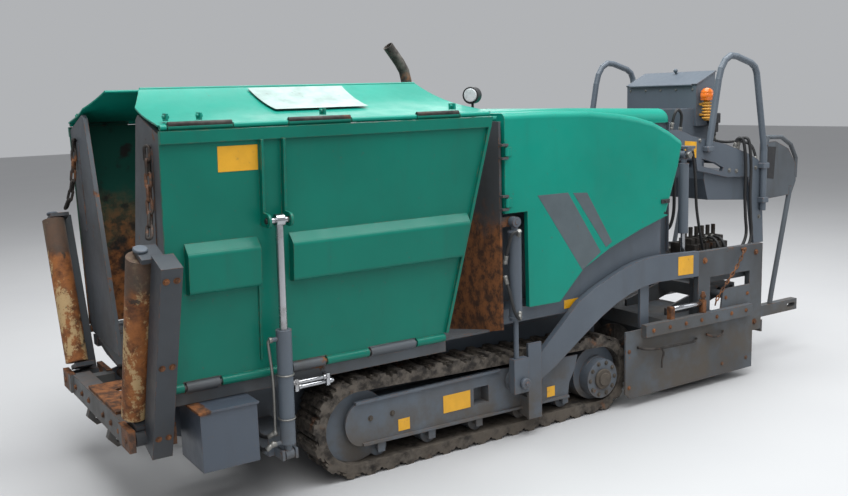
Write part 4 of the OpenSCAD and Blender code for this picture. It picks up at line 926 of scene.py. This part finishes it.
def console_fittings():
    """Operator's panel with its knobs and levers under the lid, and the console's screws."""
    panel = Piece()
    panel.box(-1252, -1116, -262, 262, 1481, PANEL_Z + 1, 3)
    panel.done("console_panel", MAT["plastic"], "tractor", "dark_steel")
    knobs = Piece()
    rng = random.Random(4)
    for j, x in enumerate((-1226, -1184, -1142)):
        for k in range(9):
            y = -228 + 57 * k
            if (j + k) % 3 == 0:
                knobs.rod((x, y, PANEL_Z), (x, y, PANEL_Z + 13), 12, 16, 2)
                knobs.box(x - 2, x + 2, y - 11, y + 11, PANEL_Z + 11, PANEL_Z + 19, 1)
            elif (j + k) % 3 == 1:
                knobs.rod((x, y, PANEL_Z), (x, y, PANEL_Z + 9), 9, 12, 2)
                knobs.rod((x, y, PANEL_Z + 7), (x + rng.uniform(-6, 6), y + 3, PANEL_Z + 29), 4, 8, 1)
            else:
                knobs.rod((x, y, PANEL_Z), (x, y, PANEL_Z + 5), 15, 20, 1.5)
    knobs.done("console_knobs", MAT["zinc"], "tractor", "dark_steel")
    screws = Piece()
    for y in (-245, -120, 0, 120, 245):
        for z in (1425, 1608):
            screws.bolt((CONSOLE_FRONT_X, y, z), (1, 0, 0), 5, 3)
    screws.done("console_screws", MAT["zinc"], "tractor", "grey_paint")


GATE_Y, GATE_ROD_Y, GATE_ROD_X, SCREED_SIDE_Y = 672, 662, -729, 645


def gate_fittings(side, sg):
    """Cylinder, handles and bolts of the side gate."""
    body = "screed_extension_" + side
    rod = Piece(sg)
    rod.rod((-478, GATE_ROD_Y, 476), (GATE_ROD_X, GATE_ROD_Y, 476), 15, 20, 2)
    rod.done("gate_cylinder_" + side, MAT["chrome"], body, "chrome_rod")
    ends = Piece(sg)
    ends.box(-500, -470, 654, 686, 398, 494, 4)
    ends.box(-742, -716, 654, 686, 398, 498, 4)
    ends.rod((GATE_ROD_X, GATE_Y, 494), (GATE_ROD_X, GATE_Y, 540), 10, 12, 2)
    ends.rod((GATE_ROD_X, GATE_Y, 510), (GATE_ROD_X, GATE_Y, 524), 17, 6, 2)
    ends.done("gate_cylinder_ends_" + side, MAT["rusty"], body, "screed_steel")
    bars = Piece(sg)
    for path, r in (([(-242, GATE_Y, 316), (-300, 690, 300), (-400, 694, 292), (-520, 692, 288),
                      (-640, 690, 284), (-682, GATE_Y, 290)], 7),
                    ([(-393, 690, 296), (-398, 704, 270), (-392, 700, 225), (-396, 694, 188)], 6),
                    ([(-760, GATE_Y, 300), (-800, 690, 286), (-860, 688, 284), (-896, GATE_Y, 296)], 7)):
        bars.tube(smooth_path(path, 6), r, 10)
    bars.done("gate_handles_" + side, MAT["dark"], body, "dark_steel")
    bolts = Piece(sg)
    for x in (-330, -450, -570, -690, -810, -930, -1050):
        bolts.bolt((x, 699, 396), (0, 1, 0), 8, 5)
    for x, z in ((-190, 110), (-190, 300), (-900, 110), (-1100, 110), (-1100, 480), (-920, 480)):
        bolts.bolt((x, 665, z), (0, 1, 0), 8, 5)
    bolts.done("gate_bolts_" + side, MAT["rusty"], body, "screed_steel")


def screed_fittings(side, sg):
    """Chain, hooks, and a black plate as painted shade in the side plate's slot."""
    hang = chain([(-1068, 664, 726), (-1040, 668, 690), (-985, 670, 625), (-915, 668, 555),
                  (-850, 664, 480), (-838, 662, 440)], pitch=34, wire=3.6, width=12, side=sg)
    hang.done("screed_chain_" + side, MAT["rusty"], "screed", "dark_steel")
    hook = Piece(sg)
    hook.rod((-1070, SCREED_SIDE_Y, 728), (-1070, 672, 728), 9, 14, 2)
    for x, z in ((-770, 700), (-1190, 700), (-1190, 300)):
        hook.bolt((x, SCREED_SIDE_Y, z), (0, 1, 0), 12, 8)
    hook.done("screed_hooks_" + side, MAT["rusty"], "screed", "screed_steel")
    # A black plate on the side plate's face is painted shade standing for its slot
    slot = Piece(sg)
    slot.label(((-1566, 1262), (-1640, 1256), (-1626, 1066), (-1568, 1074)), SIDE_PLATE_Y, 1.2)
    slot.done("side_plate_slot_shadow_" + side, MAT["plastic"], "screed", "screed_steel")


VALVE_X = [-1204 + 48 * k for k in range(6)]
PORT_Y, PORT_Z = 452, 690


def screed_hoses():
    """Hoses from the bay's rear wall to the valve bank on the screed."""
    rng = random.Random(8)
    runs = []
    for k, x in enumerate(VALVE_X):
        y = -330 + 105 * k + rng.uniform(-18, 18)
        runs.append(([(-684, y, 790), (-745, y, 765 + rng.uniform(-15, 15)), (-860, y * 0.6 + 60, 700),
                      (x + 70, y * 0.2 + 130, 690), (x + 12, 190, 694), (x, 238, 692)], 9))
    add_hoses("screed_hoses", runs, "tractor", 1,
              ("tractor", "screed", metres((-720, 0, 770)), metres((-1000, 180, 692))))


def valve_hoses():
    """Hoses from the console and the rear frame down to the valve bank."""
    down = []
    for dx, y, x_end in ((0, 484, VALVE_X[0]), (-26, 500, VALVE_X[1])):
        down.append(([(-1246 + dx, 436, 1270), (-1252 + dx, 448, 1318), (-1264 + dx, y - 10, 1324),
                      (-1276 + dx, y, 1270), (-1290 + dx, y, 1150), (-1290 + dx, y - 2, 1000),
                      (-1302 + dx, y - 4, 880), (-1306 + dx, y, 770), (-1260 + dx, y, 700),
                      (x_end, PORT_Y, PORT_Z)], 9))
    down.append(([(-744, 548, 1294), (-775, 540, 1288), (-800, 532, 1225), (-830, 520, 1100),
                  (-858, 506, 960), (-900, 500, 800), (-935, 490, 706), (VALVE_X[5], PORT_Y, PORT_Z)], 8))
    add_hoses("valve_hoses", down, "tractor", 1,
              ("tractor", "screed", metres((-1050, 480, 1240)), metres((-1100, 480, 760))))


def valve_loops():
    """Short loops on the valve bank."""
    loops = []
    for k in (2, 3):
        x = VALVE_X[k]
        loops.append(([(x, PORT_Y, PORT_Z), (x + 2, 486, 694), (x + 6, 500, 722), (x + 8, 470, 768),
                       (x + 4, 410, 772), (x, 396, 752)], 8))
    x = VALVE_X[4]
    loops.append(([(x, PORT_Y, PORT_Z), (x + 4, 488, 690), (x + 40, 508, 672), (x + 70, 500, 660),
                   (x + 92, 470, 655)], 8))
    add_hoses("valve_loops", loops, "screed", 1)


def rear_leads():
    """Leads of the switch box and the rear arm."""
    lead = [([(-1227, 300, 1342), (-1240, 304, 1312), (-1300, 330, 1300), (-1372, 372, 1302),
              (-1415, 414, 1280), (-1424, 438, 1230), (-1426, 446, 1180)], 8),
            ([(-708, 452, 1404), (-718, 466, 1480), (-742, 470, 1504), (-768, 470, 1472), (-772, 460, 1410),
              (-774, 452, 1378)], 8)]
    add_hoses("rear_leads", lead, "tractor", 1)


def rear_pipe():
    """Straight black pipe beside the lift cylinder, clipped to the bay's rear wall."""
    pipe = Piece()
    pipe.tube(smooth_path([(-689, 452, 1290), (-705, 470, 1240), (-712, 474, 1100), (-712, 474, 960),
                           (-700, 462, 880), (-684, 440, 850)], 6), 9, 12)
    pipe.done("rear_pipe", MAT["rubber"], "tractor", "dark_steel")


def front_fittings():
    for side, sg in SIDES:
        bits = Piece(sg)
        for y in (120, 240, 360):
            bits.bolt((MEMBER_FRONT_X, y, MEMBER_BOLT_Z), (1, 0, 0), 10, 7)
        bits.done("member_bolts_" + side, MAT["rusty"], "tractor", "grey_paint")


# The track's path, with the CAD's values
IDLER_X, IDLER_R, SPROCKET_X, SPROCKET_R = 1350.0, 222.0, -40.0, 200.0
GROUSER_H, SHOE_COUNT = 22.0, 40
RUN_L, RISE = IDLER_X - SPROCKET_X, IDLER_R - SPROCKET_R
TOP_RUN_TURN = math.asin(RISE / math.hypot(RUN_L, RISE)) + math.atan2(RISE, RUN_L)
IDLER_TURN, SPROCKET_TURN = math.pi + TOP_RUN_TURN, math.pi - TOP_RUN_TURN
IDLER_ARC_L, SPROCKET_ARC_L = (IDLER_R - GROUSER_H) * IDLER_TURN, (SPROCKET_R - GROUSER_H) * SPROCKET_TURN
SHOE_PITCH = (2 * RUN_L + IDLER_ARC_L + SPROCKET_ARC_L) / SHOE_COUNT


def on_rim(x, r, turn):
    """A point of the path on a wheel's rim, with its turn from straight down."""
    return x + (r - GROUSER_H) * math.sin(turn), r - (r - GROUSER_H) * math.cos(turn), turn


def on_track(s):
    """Place and turn of the path at distance s from under the sprocket."""
    if s < RUN_L:
        return SPROCKET_X + s, GROUSER_H, 0.0
    if s < RUN_L + IDLER_ARC_L:
        return on_rim(IDLER_X, IDLER_R, (s - RUN_L) / (IDLER_R - GROUSER_H))
    if s < 2 * RUN_L + IDLER_ARC_L:
        x, z, turn = on_rim(IDLER_X, IDLER_R, IDLER_TURN)
        back = s - RUN_L - IDLER_ARC_L
        return x + back * math.cos(turn), z + back * math.sin(turn), turn
    turn = IDLER_TURN + (s - 2 * RUN_L - IDLER_ARC_L) / (SPROCKET_R - GROUSER_H)
    return on_rim(SPROCKET_X, SPROCKET_R, turn)


def shoe_bolts(side, sg):
    """Four bolt heads on each shoe of the track."""
    bolts = Piece(sg)
    for i in range(SHOE_COUNT):
        x, z, a = on_track((i + 0.5) * SHOE_PITCH)
        d, out = Vector((math.cos(a), 0, math.sin(a))), Vector((math.sin(a), 0, -math.cos(a)))
        for along in (-0.30, 0.33):
            for y in (458, 577):
                c = Vector((x, y, z)) + d * (along * SHOE_PITCH) + out * (0.45 * GROUSER_H)
                bolts.rod(c - out * 1, c + out * 6, 9, 6, 1.5)
    bolts.done("shoe_bolts_" + side, MAT["track"], "tractor", "track_steel")


PIPE_X, PIPE_Y, CLAMP_Z, FLANGE_Z = 500, -280, 1580, 1548


def exhaust_fittings():
    clamp = Piece()
    ring = [(PIPE_X + 31 * math.cos(a), PIPE_Y + 31 * math.sin(a), CLAMP_Z) for a in circle(24)]
    clamp.tube(ring, 4.5, 8, closed=True)
    clamp.bolt((PIPE_X, PIPE_Y + 32, CLAMP_Z), (0, 1, 0), 6, 10)
    for k in range(4):
        a = math.pi / 4 + math.pi / 2 * k
        clamp.bolt((PIPE_X + 37 * math.cos(a), PIPE_Y + 37 * math.sin(a), FLANGE_Z), (0, 0, 1), 5, 4)
    clamp.done("exhaust_clamp", MAT["exhaust"], "tractor", "exhaust_steel")


camera()
floor_and_light()
dress_nodes()
for side_name, sign in SIDES:
    wing_fittings(side_name, sign)
    flap_fittings(side_name, sign)
    push_arm_fittings(side_name, sign)
    cover_fittings(side_name, sign)
    bay_fittings(side_name, sign)
    track_fittings(side_name, sign)
    shoe_bolts(side_name, sign)
    cylinder_pipe(side_name, sign)
    cylinder_hoses(side_name, sign)
    grease_pipes(side_name, sign)
    levelling_hoses(side_name, sign)
    gate_fittings(side_name, sign)
    screed_fittings(side_name, sign)
lamps()
rear_fittings()
beacon()
switch_box()
louvres()
console_fittings()
screed_hoses()
valve_hoses()
valve_loops()
rear_leads()
rear_pipe()
front_fittings()
exhaust_fittings()
